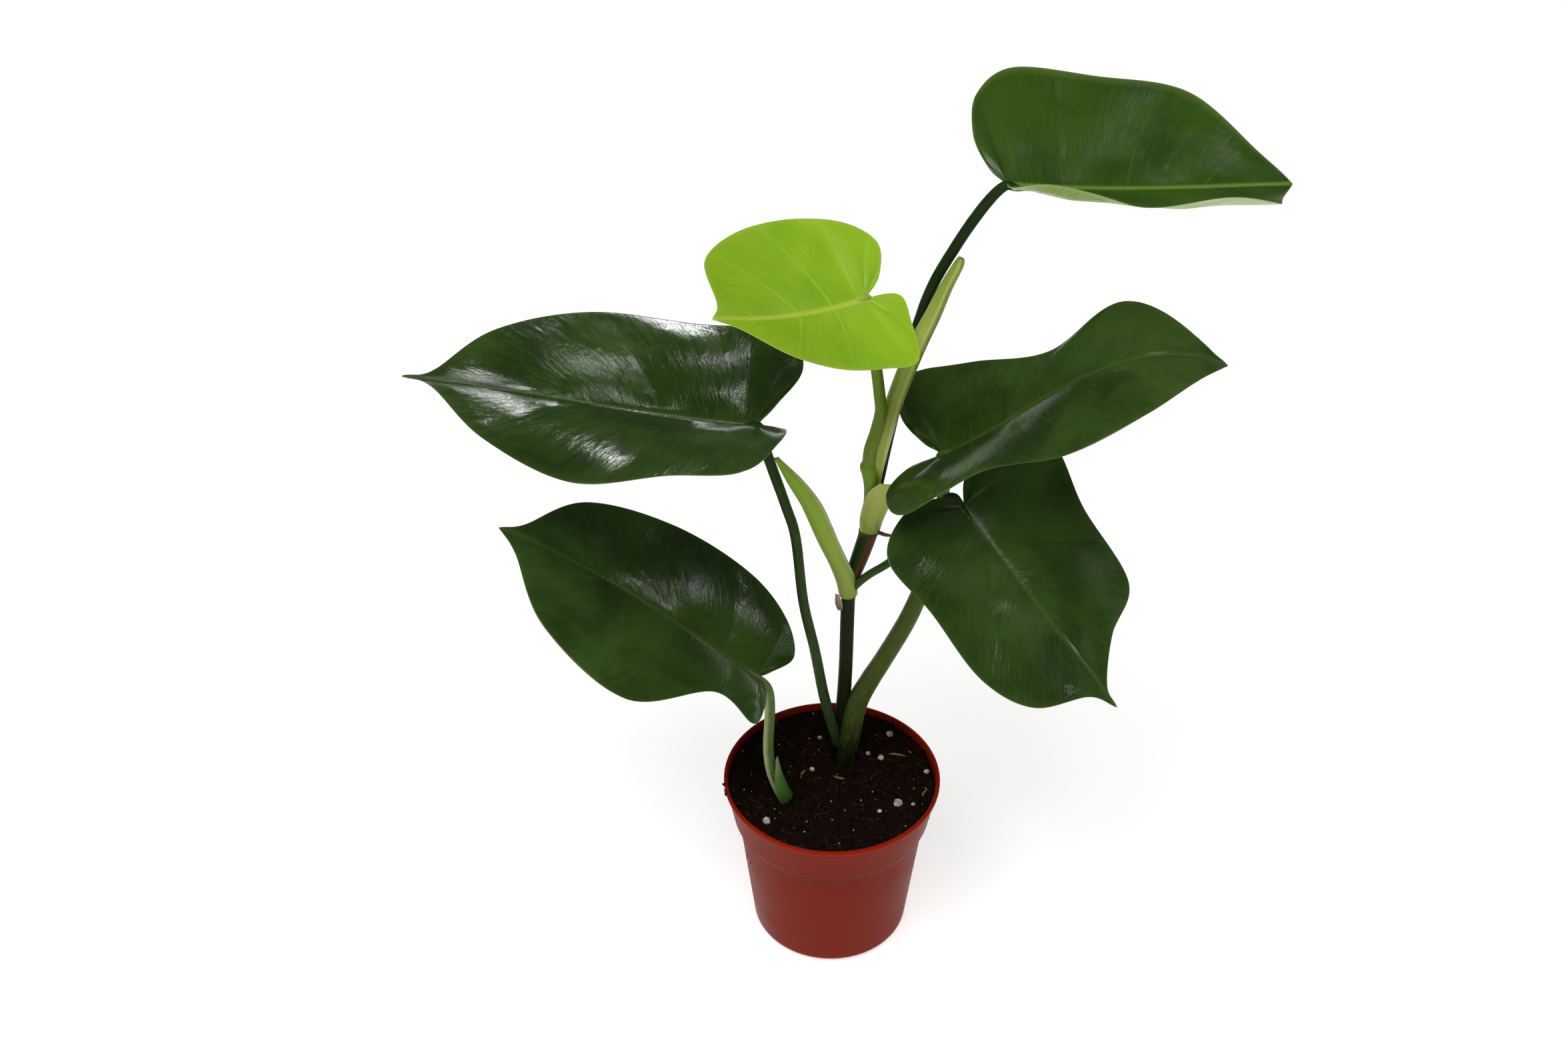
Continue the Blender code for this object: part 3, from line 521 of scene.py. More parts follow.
crumb_brown = Finish("peat crumbs", roughness=0.95, shine=0.03)
crumb_stops = ((0.3, *PEAT_DARKEST), (0.55, 0.014, 0.007, 0.005), (0.68, 0.045, 0.022, 0.012))
crumb_brown.paint(crumb_brown.zones(crumb_brown.noise(260, detail=2), crumb_stops))
crumb_brown.relief(crumb_brown.noise(2500), 0.3 * MM)
crumb_brown = crumb_brown.material
grit_pale = (0.8, 0.75, 0.7)
grit_white = cloudy("white grit", 300, 3, (0.36, 0.27, 0.22), grit_pale, 0.9, 0.2, 0.2 * MM, bumps=2500)
fibre_tan = cloudy("root fibres", 90, 3, (0.03, 0.012, 0.006), (0.2, 0.09, 0.04), 0.8, 0.1)

crumbs, fibres = scatter_recipe("crumbs", crumb), scatter_recipe("fibres", fibre)
# compass angles and heights of a patch of the pot, or None for the soil; then recipe, finish, slot,
# grains to the square metre, smallest and largest size in millimetres, and seed
STREWN = {
    "soil_crumbs": (None, crumbs, crumb_brown, "potting_soil", 150000.0, 0.3, 1.15, 4),
    "pot_splash_1": (((172, 214), (46, 86)), crumbs, crumb_brown, "potting_soil", 13000.0, 0.18, 0.5, 3),
    "pot_splash_2": (((-22, 8), (52, 86)), crumbs, crumb_brown, "potting_soil", 13000.0, 0.18, 0.5, 5),
    "pot_splash_3": (((214, 335), (70, 86)), crumbs, crumb_brown, "potting_soil", 1500.0, 0.15, 0.35, 6),
    "pot_splash_4": (((186, 194), (87.9, 89.8)), crumbs, crumb_brown, "potting_soil", 400000.0, 0.5, 1.1, 9),
    "soil_grit": (None, crumbs, grit_white, "perlite", 7000.0, 0.22, 0.55, 11),
    "soil_fibres": (None, fibres, fibre_tan, "root_brown", 19000.0, 0.7, 3.4, 7),
}
for name, (patch, recipe, finish, slot, density, smallest, largest, seed) in STREWN.items():
    start = pot_patch(*patch) if patch else soil_mesh.copy()
    sizes = {"Density": density, "Smallest": smallest, "Largest": largest, "Seed": seed}
    sizes["Level"] = SIDE_LEVEL if patch else TOP_LEVEL
    placed(name, recipe.make(start, finish, **sizes), finish, slot)

# Perlite: ten grains of puffed white rock that show on the peat, each a rough rounded lump with pits,
# pressed a little way into it.

# compass angle in degrees, distance out as a share of the soil's radius, and size in millimetres
PERLITE = (
    (47, 0.87, 3.2), (45, 0.52, 2.2), (32, 0.58, 3.0), (6, 0.94, 2.8), (-28, 0.72, 4.2),
    (-45, 0.64, 2.0), (-24, 0.86, 2.0), (-138, 0.86, 3.6), (143, 0.24, 2.4), (101, 0.59, 2.2),
)
PERLITE_LIFT = Vector((0, 0, 0.5 * MM))  # from the soil's surface to a grain's middle
puffed_rock = Finish("perlite", roughness=0.92)
puffed_shade = puffed_rock.band(puffed_rock.noise(420, detail=4), 0.35, 0.6)
puffed_rock.paint(puffed_rock.blend(puffed_shade, (0.45, 0.33, 0.27), (0.86, 0.82, 0.77)))
puffed_rock.relief(puffed_rock.noise(1900, detail=4), 0.35 * MM)


def soil_point(compass, share):
    """The point of the soil's mean surface at a compass angle and a share of its radius."""
    x = share * SOIL_RADIUS * math.cos(math.radians(compass))
    y = share * SOIL_RADIUS * math.sin(math.radians(compass))
    return Vector((x, y, SOIL_TOP + soil_wave(x, y)))


for number, (compass, share, size) in enumerate(PERLITE, 1):
    grain = bmesh.new()
    bmesh.ops.create_icosphere(grain, subdivisions=4, radius=size / 2 * MM)
    for vertex in grain.verts:
        seed = vertex.co * 700 + Vector((number * 7.3, 0, 0))
        vertex.co *= 1 + 0.22 * noise.noise(seed) + 0.07 * noise.noise(seed * 4)
        vertex.co.z *= 0.8
        vertex.co += soil_point(compass, share) + PERLITE_LIFT
    grain_mesh = bpy.data.meshes.new(f"grain_{number}")
    grain.to_mesh(grain_mesh)
    grain.free()
    grain_mesh.shade_smooth()
    placed(f"perlite_grain_{number}", grain_mesh, puffed_rock.material, "perlite", f"perlite_{number}")

# Main stem: one green stem that climbs out of the soil through three nodes, bending at each. It is almost
# black at the soil, dark green and then brown-flushed further up, and pale where the new growth starts.

# x, y, height above the soil and radius, in millimetres
MAIN_STEM = (
    (3.5, 15, -14, 3.6), (3.5, 15, -6, 3.8), (4, 15, 8, 3.7), (5, 15, 30, 3.4), (5.8, 13, 60, 3.2),
    (6, 12.2, 88, 3.2), (6.2, 12, 101, 3.2), (6.7, 12, 108, 3.6), (8.2, 12, 115, 3.5), (11.5, 12, 127, 3.9),
    (14.4, 12, 139, 4.1), (15.6, 12, 152, 3.9), (15.4, 12, 164, 3.6), (13.8, 12, 174, 3.7),
)
STEM_RINGS = (8.5, 103.5, 106.5, 139, 174)  # heights of the raised rings
STEM_STOPS = (
    # share of a smooth step up the stem, then red, green and blue
    (0, 0.004, 0.004, 0.003), (0.07, 0.006, 0.008, 0.003), (0.14, 0.009, 0.016, 0.003),
    (0.53, 0.009, 0.018, 0.003), (0.66, 0.014, 0.03, 0.005), (0.88, 0.014, 0.032, 0.006),
    (0.91, 0.2, 0.27, 0.035), (1, 0.2, 0.3, 0.035),
)


def smooth(points, steps):
    """Rows on one smooth curve through the given rows, with so many steps to each span."""
    rows = np.array(points, float)
    rows = np.vstack([2 * rows[0] - rows[1], rows, 2 * rows[-1] - rows[-2]])
    curve = []
    for a, b, c, d in zip(rows, rows[1:], rows[2:], rows[3:]):
        for t in np.arange(steps) / steps:
            cubic = -a + 3 * b - 3 * c + d
            square = 2 * a - 5 * b + 4 * c - d
            curve.append(b + 0.5 * (t * (c - a) + t**2 * square + t**3 * cubic))
    return np.array([*curve, rows[-2]])


def above_soil(rows):
    """The same rows in metres, with their heights measured from the pot's underside."""
    rows = np.array(rows, float) * MM
    rows[:, 2] += SOIL_TOP
    return rows


def ringed(rows, heights, swell, width=1.1):
    """The rows with a raised ring at each height, in millimetres above the soil."""
    rows = rows.copy()
    for height in heights:
        rows[:, 3] += swell * np.exp(-(((rows[:, 2] - height) / width) ** 2))
    return rows


limbs = Recipe("limb", Sides=24, Spacing=1.2 * MM, Lumps=0.1 * MM, Fineness=300.0)
limb_given = limbs.given
limb_line = limbs.add("GeometryNodeMeshToCurve", [("Mesh", limb_given["Geometry"])])[0]
limb_thickness = limbs.add("GeometryNodeInputNamedAttribute", [("Name", "thickness")], data_type="FLOAT")[0]
limb_even = [("Curve", limb_line), ("Length", limb_given["Spacing"])]
limb_line = limbs.add("GeometryNodeResampleCurve", limb_even, mode="LENGTH")[0]
limb_share = limbs.add("GeometryNodeSplineParameter")["Factor"]
limb_line = limbs.kept(limb_line, "along", limb_share)
limb_circle = [("Resolution", limb_given["Sides"]), ("Radius", 1.0)]
limb_section = limbs.add("GeometryNodeCurvePrimitiveCircle", limb_circle)[0]
for label, turn in (("round_cosine", "COSINE"), ("round_sine", "SINE")):
    limb_section = limbs.kept(limb_section, label, limbs.math(turn, limbs.times(limb_share, math.tau)))
limb_sweep = [("Curve", limb_line), ("Profile Curve", limb_section), ("Scale", limb_thickness)]
limb_skin = limbs.add("GeometryNodeCurveToMesh", [*limb_sweep, ("Fill Caps", True)])[0]
limb_cloud = limbs.add("ShaderNodeTexNoise", [("Scale", limb_given["Fineness"]), ("Detail", 2.0)])["Fac"]
limb_push = limbs.times(limbs.math("SUBTRACT", limb_cloud, 0.5), limb_given["Lumps"])
limbs.end(limbs.pushed(limb_skin, limbs.add("GeometryNodeInputNormal")[0], limb_push))


def limb(name, rows, finish, slot, node, **sizes):
    """A round limb along rows of x, y, z and radius, its ends rounded over, which stands for a CAD node."""
    domes = []
    for end, inner in ((rows[0], rows[1]), (rows[-1], rows[-2])):
        away = (end[:3] - inner[:3]) / np.linalg.norm(end[:3] - inner[:3])
        domes.append([
            (*(end[:3] + away * end[3] * math.sin(turn)), end[3] * math.cos(turn))
            for turn in np.radians((25, 50, 70, 84))
        ])
    rows = np.vstack([domes[0][::-1], rows, domes[1]])
    line = bpy.data.meshes.new("line")
    line.from_pydata(rows[:, :3].tolist(), [(n, n + 1) for n in range(len(rows) - 1)], [])
    thickness = line.attributes.new("thickness", "FLOAT", "POINT")
    thickness.data.foreach_set("value", rows[:, 3].astype(np.float32))
    placed(name, limbs.make(line, finish, **sizes), finish, slot, node)


def skin_streaks(finish):
    """Fine streaks that run along a limb, from 0 to 1."""
    round_x = finish.times(finish.value("round_cosine"), 3 * MM)
    round_y = finish.times(finish.value("round_sine"), 3 * MM)
    along = finish.times(finish.value("along"), 12 * MM)
    wrap = finish.add("ShaderNodeCombineXYZ", [(0, round_x), (1, round_y), (2, along)])[0]
    return finish.noise(2600, place=wrap)


stem_skin = Finish("stem skin", shine=0.05)
stem_soft = stem_skin.noise(220, detail=4)
stem_level = stem_skin.math("MULTIPLY_ADD", stem_soft, 5 * MM, stem_skin.part(stem_skin.place, "Z"))
stem_tone = stem_skin.zones(stem_skin.band(stem_level, 0.085, 0.268), STEM_STOPS)
stem_flush = stem_skin.times(
    stem_skin.band(stem_skin.facing("X"), -0.25, 0.15, 0, 0.95),
    stem_skin.times(stem_skin.band(stem_level, 0.196, 0.202), stem_skin.band(stem_level, 0.232, 0.238, 1, 0)),
)
stem_streak = skin_streaks(stem_skin)
stem_tone = stem_skin.blend(stem_flush, stem_tone, (0.1, 0.032, 0.012))
stem_tone = stem_skin.blend(stem_skin.band(stem_streak, 0.5, 0.78, 0, 0.16), stem_tone, (0.09, 0.12, 0.03))
stem_skin.paint(stem_tone, stem_skin.band(stem_soft, 0.3, 0.7, 0.3, 0.5))
stem_skin.relief(stem_streak, 0.25 * MM, 0.5)
stem_rows = above_soil(ringed(smooth(MAIN_STEM, 10), STEM_RINGS, swell=0.32))
limb("stem", stem_rows, stem_skin.material, "stem_green", "main_stem", Sides=36, Spacing=0.7 * MM)

# Leaf blades: six heart-shaped blades, thick and waxy. Each is a fine sheet whose rows of points follow the
# side veins from the midrib to the margin, so the blade puckers between them. A keel runs below the midrib.

MARGIN_START = 0.03  # where the outermost vein meets the margin, as a share of the margin
LOBE_SHARE = 0.35  # the share of the margin whose veins fan out from the stalk
VEIN_SPACING = 1.5  # how the veins' starts crowd towards the stalk
VEIN_SWEEP = 1.3  # how strongly a side vein bows towards the tip
CURL_REACH = 0.41  # the distance out that a curl is measured over, in leaf lengths
MARGIN_WAVES = 2.6  # how often the margin waves between the stalk and the tip
BLADE_THICKNESS = (0.6, 0.25)  # at the midrib and at the margin, in millimetres
KEEL_DEPTH = (1.9, 0.4)  # at the stalk and at the tip, in millimetres
LEAF_ROWS = 120


@dataclass
class Leaf:
    """One blade. Angles are in degrees. An outline runs from stalk to tip, in hundredths of the length."""

    base: tuple  # where the stalk meets the blade: x, y and height above the soil, in millimetres
    length: float  # from the stalk to the tip
    heading: float  # compass direction of the midrib, from +X towards +Y
    rise: float  # slope of the midrib at the stalk
    bend: tuple  # what the slope gains by the tip, in proportion to the distance and to its square
    lobe_bend: float  # what the slope gains at one length behind the stalk
    sweep: float  # sideways turn by the tip
    bank: float  # turn about the midrib
    fold: tuple  # lift of each side from the midrib: left at the stalk and the tip, then right
    curl: tuple  # how much each side rolls down over its reach, in the same order
    left: tuple
    right: tuple
    pucker: float = 0.5 * MM  # how far the blade swells between side veins
    side_veins: float = 7.0  # pairs of side veins that show
    wave: float = 0.8 * MM  # how far the margin waves up and down
    rolls: tuple = ()  # side, share of the margin, half width and height in millimetres of each roll


LEAVES = {
    "top": Leaf(
        base=(66, 25, 303.5), length=134 * MM, heading=21, rise=-16, bend=(19, -10), lobe_bend=21, sweep=-2,
        bank=9, fold=(19, 16, 30, 2), curl=(10, -4, 4, -59),
        left=((-4.5, 6), (-7, 18), (0, 35), (18.5, 49), (47, 44), (76, 36.5), (93, 13)),
        right=((-4, 7), (-7.5, 19.5), (-2, 36.5), (20, 50), (49, 49), (75.5, 31.5), (91, 10)),
        pucker=1.3 * MM, side_veins=5.0,
        rolls=((-1, 0.36, 0.12, 4.5), (-1, 0.5, 0.05, -2.0), (-1, 0.65, 0.09, 3.0)),
    ),
    "left": Leaf(
        base=(-34, 8, 199), length=149 * MM, heading=175, rise=2, bend=(26, -19), lobe_bend=23, sweep=6,
        bank=-3, fold=(26, 0, 17, 6), curl=(17, 13, 13, 9),
        left=((-8.5, 5), (-7.5, 18), (0.5, 36), (21.5, 38), (48, 41), (75, 23.5), (91, 4.5)),
        right=((-5, 8), (-11.5, 21.5), (-4.5, 37), (21, 38), (50.5, 37.5), (77, 24), (92, 4)),
        pucker=1.2 * MM, side_veins=5.0,
    ),
    "lower_left": Leaf(
        base=(-34.5, -8, 72), length=135 * MM, heading=172, rise=37, bend=(7, -23), lobe_bend=-7, sweep=1,
        bank=-5, fold=(19, -5, 14, 4), curl=(16, 15, 12, 10),
        left=((-3, 4), (-4, 14), (0, 26.5), (15, 22), (41.5, 41.5), (75, 29.5), (92.5, 7.5)),
        right=((-4, 4.5), (-9.5, 15), (-2, 28), (15, 36), (46, 36), (77, 26.5), (93, 5)), pucker=0.8 * MM,
        side_veins=6.0,
    ),
    "right": Leaf(
        base=(43.6, 0, 189.5), length=131 * MM, heading=-6, rise=29, bend=(82, -139), lobe_bend=23, sweep=2,
        bank=3, fold=(20, 8, 18, -6), curl=(6, 5, 15, 15),
        left=((-6, 7), (-13, 21.5), (-8.5, 35), (17, 30), (45, 17.5), (70, 25), (91, 7)),
        right=((-10, 4), (-17, 18.5), (-9, 33), (17, 26), (46, 34.5), (72.5, 25), (92.5, 8.5)),
        pucker=1.2 * MM, side_veins=5.0, wave=1.2 * MM,
    ),
    "lower_right": Leaf(
        base=(52.7, -12, 171), length=105 * MM, heading=-45, rise=-35, bend=(13, -11), lobe_bend=0, sweep=0,
        bank=8, fold=(17, 1, 10, 0), curl=(7, 10, 14, 10),
        left=((-9.5, 8.5), (-12.5, 25), (-1, 46), (28.5, 42), (63, 39), (76, 18), (90.5, 3)),
        right=((-7.5, 6.5), (-10.5, 24), (1, 43), (28.5, 41), (60, 40), (81, 29.5), (90.5, 7.5)),
        pucker=1.1 * MM, side_veins=5.0,
    ),
    "young": Leaf(
        base=(10.7, 12, 258.7), length=84 * MM, heading=214, rise=1, bend=(44, -16), lobe_bend=1, sweep=3,
        bank=-19, fold=(8, 12, 21, 9), curl=(15, 3, 7, 5),
        left=((-16.5, 5), (-12, 21.5), (-1, 44), (20, 43), (50, 38), (77, 27.5), (91.5, 7)),
        right=((-12, 8.5), (-20, 25), (-8, 40.5), (20, 50), (52.5, 49), (81, 34.5), (91.5, 8.5)),
        pucker=0.5 * MM, wave=0.6 * MM,
    ),
}


class Blade:
    """The curved surface of one leaf. It takes a flat place on the leaf to its place in the air."""

    def __init__(self, leaf):
        self.leaf = leaf
        step = leaf.length / 60
        self.distances = np.arange(-24, 61) * step
        forward = self.directions(self.distances + step / 2)[0]
        track = np.cumsum(forward * step, axis=0) - forward * step
        self.track = track - track[24]

    def directions(self, distance):
        """Forward, left and up along the midrib, before the leaf is banked and turned."""
        share = distance / self.leaf.length
        linear, square = self.leaf.bend
        ahead = linear * share + square * share**2
        slope = np.radians(self.leaf.rise + np.where(share > 0, ahead, self.leaf.lobe_bend * share))
        turn = np.radians(self.leaf.sweep * np.maximum(share, 0))
        level = np.zeros_like(turn)
        forward = np.stack([np.cos(slope) * np.cos(turn), np.cos(slope) * np.sin(turn), np.sin(slope)], -1)
        left = np.stack([-np.sin(turn), np.cos(turn), level], -1)
        return forward, left, np.cross(forward, left)

    def surface(self, along, out):
        """The points and upward directions at distances along the midrib and out to its left."""
        leaf = self.leaf
        on_midrib = np.stack([np.interp(along, self.distances, self.track[:, axis]) for axis in range(3)], -1)
        _, left, up = self.directions(along)
        share = np.clip(along / leaf.length, 0, 1)
        sides = np.sign(out)
        lift, curl = (
            np.radians(
                np.where(sides >= 0, ends[0], ends[2])
                + np.where(sides >= 0, ends[1] - ends[0], ends[3] - ends[2]) * share
            )
            for ends in (leaf.fold, leaf.curl)
        )
        curl = curl / (CURL_REACH * leaf.length)
        curl = np.where(np.abs(curl) < 1e-4, 1e-4, curl)
        end = lift - curl * np.abs(out)
        sideways = sides * (np.sin(lift) - np.sin(end)) / curl
        upwards = (np.cos(end) - np.cos(lift)) / curl
        points = on_midrib + sideways[..., None] * left + upwards[..., None] * up
        tilt = end * np.clip(np.abs(out) / (2 * MM), 0, 1)
        normals = np.cos(tilt)[..., None] * up - (sides * np.sin(tilt))[..., None] * left
        return self.turned(points) + above_soil([leaf.base])[0], self.turned(normals)

    def turned(self, points):
        """The points banked about the midrib's start and turned to the leaf's heading."""
        leaf = self.leaf
        rise, bank, heading = (math.radians(angle) for angle in (leaf.rise, leaf.bank, leaf.heading))
        axis = np.array((math.cos(rise), 0, math.sin(rise)))
        banked = points * math.cos(bank) + np.cross(axis, points) * math.sin(bank)
        banked += np.multiply.outer(points @ axis, axis) * (1 - math.cos(bank))
        x = banked[..., 0] * math.cos(heading) - banked[..., 1] * math.sin(heading)
        y = banked[..., 0] * math.sin(heading) + banked[..., 1] * math.cos(heading)
        return np.stack([x, y, banked[..., 2]], -1)


def margin(outline, length, share):
    """The (along, out) place on one half of the outline at a share of the way from the stalk to the tip."""
    corners = np.array([(0, 0), *outline, (100, 0)]) * length / 100
    curve = smooth(corners, 12)
    at = np.asarray(share) * (len(curve) - 1)
    steps = np.arange(len(curve))
    return np.stack([np.interp(at, steps, curve[:, 0]), np.interp(at, steps, curve[:, 1])], -1)


def ease(value, low, high):
    """A smooth step from 0 at low to 1 at high."""
    share = np.clip((value - low) / (high - low), 0, 1)
    return share * share * (3 - 2 * share)


def blade_mesh(name, leaf):
    """A blade's upper face, underside and thin rim in one mesh, and the surface that it follows."""
    blade = Blade(leaf)
    share = np.linspace(MARGIN_START, 1, LEAF_ROWS)[:, None]
    left, right = (margin(outline, leaf.length, share[:, 0]) for outline in (leaf.left, leaf.right))
    half = np.append(np.linspace(0, 1, 28) ** 1.6 * 0.982, (0.992, 1.0))
    parts = np.concatenate([-half[:0:-1], half])[None, :]
    part, side = np.abs(parts), np.where(parts >= 0, 1, -1)
    start = leaf.length * np.clip((share - LOBE_SHARE) / (1 - LOBE_SHARE), 0, 1) ** VEIN_SPACING
    along = start + part**VEIN_SWEEP * (np.where(parts >= 0, left[:, :1], right[:, :1]) - start)
    out = part * np.where(parts >= 0, left[:, 1:], -right[:, 1:])
    share = share + 0 * part
    strips = [
        (height * MM, np.exp(-(((share - middle) / width) ** 2)) * (side == which))
        for which, middle, width, height in leaf.rolls
    ]
    for _, strip in strips:
        out = out * (1 - 0.1 * strip * ease(part, 0.6, 1.0))
    points, normals = blade.surface(along, out)
    distance, ahead = np.abs(out), np.clip(along / leaf.length, 0, 1)

    tip_fade = 1 - ease(share, 0.88, 1.0)
    swell = np.abs(np.sin(math.pi * leaf.side_veins * share + 0.35 * side)) - 0.64
    body = ease(part, 0.02, 0.3) * (1 - ease(part, 0.75, 1.0))
    lift = leaf.pucker * swell * body * tip_fade
    phase = 2.3 * len(name) + side
    lift += leaf.wave * part**3 * np.sin(math.tau * MARGIN_WAVES * share + phase) * tip_fade
    lift -= 0.16 * MM * np.exp(-((distance / (1.5 * MM)) ** 2)) * (1 - 0.6 * ahead)
    for height, strip in strips:
        lift += height * strip * ease(part, 0.62, 1.05) ** 1.5
    thickness = BLADE_THICKNESS[1] + (BLADE_THICKNESS[0] - BLADE_THICKNESS[1]) * (1 - part)
    keel = KEEL_DEPTH[0] + (KEEL_DEPTH[1] - KEEL_DEPTH[0]) * ahead
    keel = keel * np.exp(-((distance / (1.7 * MM)) ** 2)) * ease(share, 0.0, 0.1)
    top = points + lift[..., None] * normals
    bottom = top - ((thickness + keel) * MM)[..., None] * normals

    def both(values):
        """The values at the points of the upper face, and again for the underside."""
        return np.tile((values + 0 * share).ravel(), 2)

    numbers = {
        "midrib": both(np.exp(-((distance / (1.25 * MM)) ** 2))),
        "rim": both(ease(part, 0.972, 0.992)),
        "part": both(part),
        "under": np.repeat((0.0, 1.0), share.size),
    }
    points = np.concatenate([top.reshape(-1, 3), bottom.reshape(-1, 3)])
    place = np.stack([both(share), both(parts)], -1)
    return welded(name, points, sheet_faces(*share.shape), place, numbers), blade


def leaf_finish(name, shade, light, vein, rim, under, side_veins, roughness, vein_show, bold):
    """Waxy blade: two greens in clouds, a paler midrib and rim, side veins, and gloss that varies along them.

    vein_show is how much the side veins show, and bold how much the midrib shows and, halved, the rim.
    """
    made = Finish(name)
    surface = made.on_surface()
    share, midrib, below = made.part(surface, "X"), made.value("midrib"), made.value("under")
    cloud = made.noise(26, detail=4, distortion=0.4)
    streak = made.noise(1.0, detail=5, place=surface, stretch=(150, 5, 1), rough=0.6)
    patch = made.noise(1.0, place=surface, stretch=(60, 2.2, 1))
    line, hair = (
        made.math("ABSOLUTE", made.math("SINE", made.times(share, math.pi * count)))
        for count in (side_veins, side_veins * 5)
    )
    lines = made.math("MAXIMUM", made.band(line, 0.0, 0.09, 1, 0), made.band(hair, 0.0, 0.3, 0.15, 0))
    lines = made.times(lines, made.times(made.band(made.value("part"), 0.1, 0.8, 1, 0.25), vein_show))
    tone = made.blend(made.band(made.math("MULTIPLY_ADD", streak, 0.35, cloud), 0.45, 0.85), shade, light)
    tone = made.blend(lines, tone, vein)
    tone = made.blend(made.band(midrib, 0.05, 0.9, 0, bold), tone, vein)
    tone = made.blend(made.times(made.value("rim"), 0.5 * bold), tone, rim)
    underside = made.blend(made.band(midrib, 0.1, 0.7, 0, 0.7), under, vein)
    underside = made.blend(made.band(streak, 0.4, 0.75, 0, 0.4), underside, light)
    gloss = made.band(made.math("MULTIPLY_ADD", streak, 0.5, patch), 0.58, 0.9, *roughness)
    made.paint(made.blend(below, tone, underside), made.math("MULTIPLY_ADD", below, 0.22, gloss))
    ridges = made.noise(1.0, place=surface, stretch=(90, 9, 1), distortion=0.4)
    skin = made.math("MULTIPLY_ADD", streak, 0.5, made.times(lines, -0.3))
    made.relief(made.math("MULTIPLY_ADD", ridges, 0.5, skin), 0.32 * MM, 0.6)
    return made.material



BLADE_FINISH = {
    "dark": leaf_finish(
        "dark leaf", shade=(0.02, 0.048, 0.007), light=(0.048, 0.1, 0.016), vein=(0.12, 0.2, 0.035),
        rim=(0.22, 0.32, 0.05), under=(0.1, 0.19, 0.05), side_veins=6, roughness=(0.07, 0.16),
        vein_show=0.1, bold=0.22,
    ),
    "mature": leaf_finish(
        "mature leaf", shade=(0.03, 0.082, 0.006), light=(0.056, 0.13, 0.01), vein=(0.22, 0.4, 0.06),
        rim=(0.3, 0.45, 0.1), under=(0.34, 0.46, 0.12), side_veins=7, roughness=(0.12, 0.22),
        vein_show=0.14, bold=0.8,
    ),
    "young": leaf_finish(
        "young leaf", shade=(0.29, 0.57, 0.012), light=(0.4, 0.69, 0.018), vein=(0.66, 0.84, 0.08),
        rim=(0.6, 0.76, 0.1), under=(0.4, 0.56, 0.1), side_veins=7, roughness=(0.22, 0.36), vein_show=0.7,
        bold=0.85,
    ),
}
LEAF_LOOKS = {"top": ("mature", "mature_leaf"), "young": ("young", "young_leaf")}
blades = {}
for name, leaf in LEAVES.items():
    look, slot = LEAF_LOOKS.get(name, ("dark", "dark_leaf"))
    mesh, blades[name] = blade_mesh(f"blade_{name}", leaf)
    placed(f"blade_{name}", mesh, BLADE_FINISH[look], slot, f"leaf_{name}")

# Leaf stalks: round fleshy stalks that leave the stem at its nodes or its foot, and run on into the keel
# under each blade. The older ones are dark green, and the youngest is as pale as its leaf.

# x, y, height above the soil and radius, in millimetres
STALKS = {
    "right": (
        (6.2, 12.5, -9, 4.4), (6.6, 12.5, -1, 4.6), (8.4, 12.5, 16, 4.9), (11.5, 12.5, 37, 4.9),
        (17, 12, 52, 4.6), (23.5, 11, 67, 4.3), (34, 9, 94, 4.1), (41.5, 8, 122, 3.6), (45, 7, 145, 3.1),
        (45.5, 4, 168, 2.7),
    ),
    "left": (
        (3.5, 15, 6, 2.4), (1, 12.5, 20, 2.5), (-4, 12.5, 42, 2.5), (-8.5, 11, 71, 2.4), (-14, 8, 103, 2.3),
        (-17.5, 6, 140, 2.3), (-22, 5, 159, 2.3), (-30, 6, 186, 2.3),
    ),
    "lower_left": (
        (-16.5, -12, -20, 2.4), (-19, -13.5, -6, 2.7), (-21.8, -14, 0, 2.9), (-25.5, -13.3, 9, 2.8),
        (-28.5, -12.5, 19, 2.6), (-29.8, -11.5, 32, 2.4), (-29, -10, 53, 2.4), (-30, -9, 65, 2.4),
    ),
    "top": (
        (15, 14, 150, 2.2), (18, 17, 160, 2.3), (20.7, 20, 174, 2.3), (23.8, 21.5, 192, 2.3),
        (28.8, 22, 221, 2.3), (36.5, 23, 253, 2.3), (46.5, 24, 275, 2.3), (57, 25, 293, 2.3),
    ),
    "lower_right": (
        (6.6, 12, 103.5, 1.9), (9.6, 9.6, 111, 1.9), (15, 5, 120.5, 1.8), (23, 0, 131, 1.8),
        (33, -4, 145, 1.8), (40, -6.5, 161, 1.8), (45, -8, 171.5, 1.8), (49, -9.5, 174, 1.8),
    ),
    "young": (
        (13.8, 12, 174, 3.2), (14.2, 11, 184, 2.9), (16.3, 10, 194, 2.7), (17.9, 9, 205, 2.6),
        (17, 8, 215, 2.5), (15.3, 8, 228, 2.4), (12.5, 9.5, 244, 2.2),
    ),
}


def stalk_rows(rows, blade):
    """A stalk's rows, run on behind the blade's base and then along under its midrib, thinning out."""
    forward, _, up = (blade.turned(direction)[0] for direction in blade.directions(np.array([0.0])))
    base = above_soil([blade.leaf.base])[0]
    radius = rows[-1][3] * MM
    behind = (*(base - forward * 1 * MM - up * 0.55 * radius), 0.9 * radius)
    under = (*(base + forward * 5 * MM - up * 0.62 * radius), 0.62 * radius)
    along, level = blade.surface(np.array([12 * MM]), np.array([0.0]))
    away = (*(along[0] - level[0] * 1.3 * MM), 0.3 * radius)
    return smooth(np.vstack([above_soil(rows), behind, under, away]), 8)


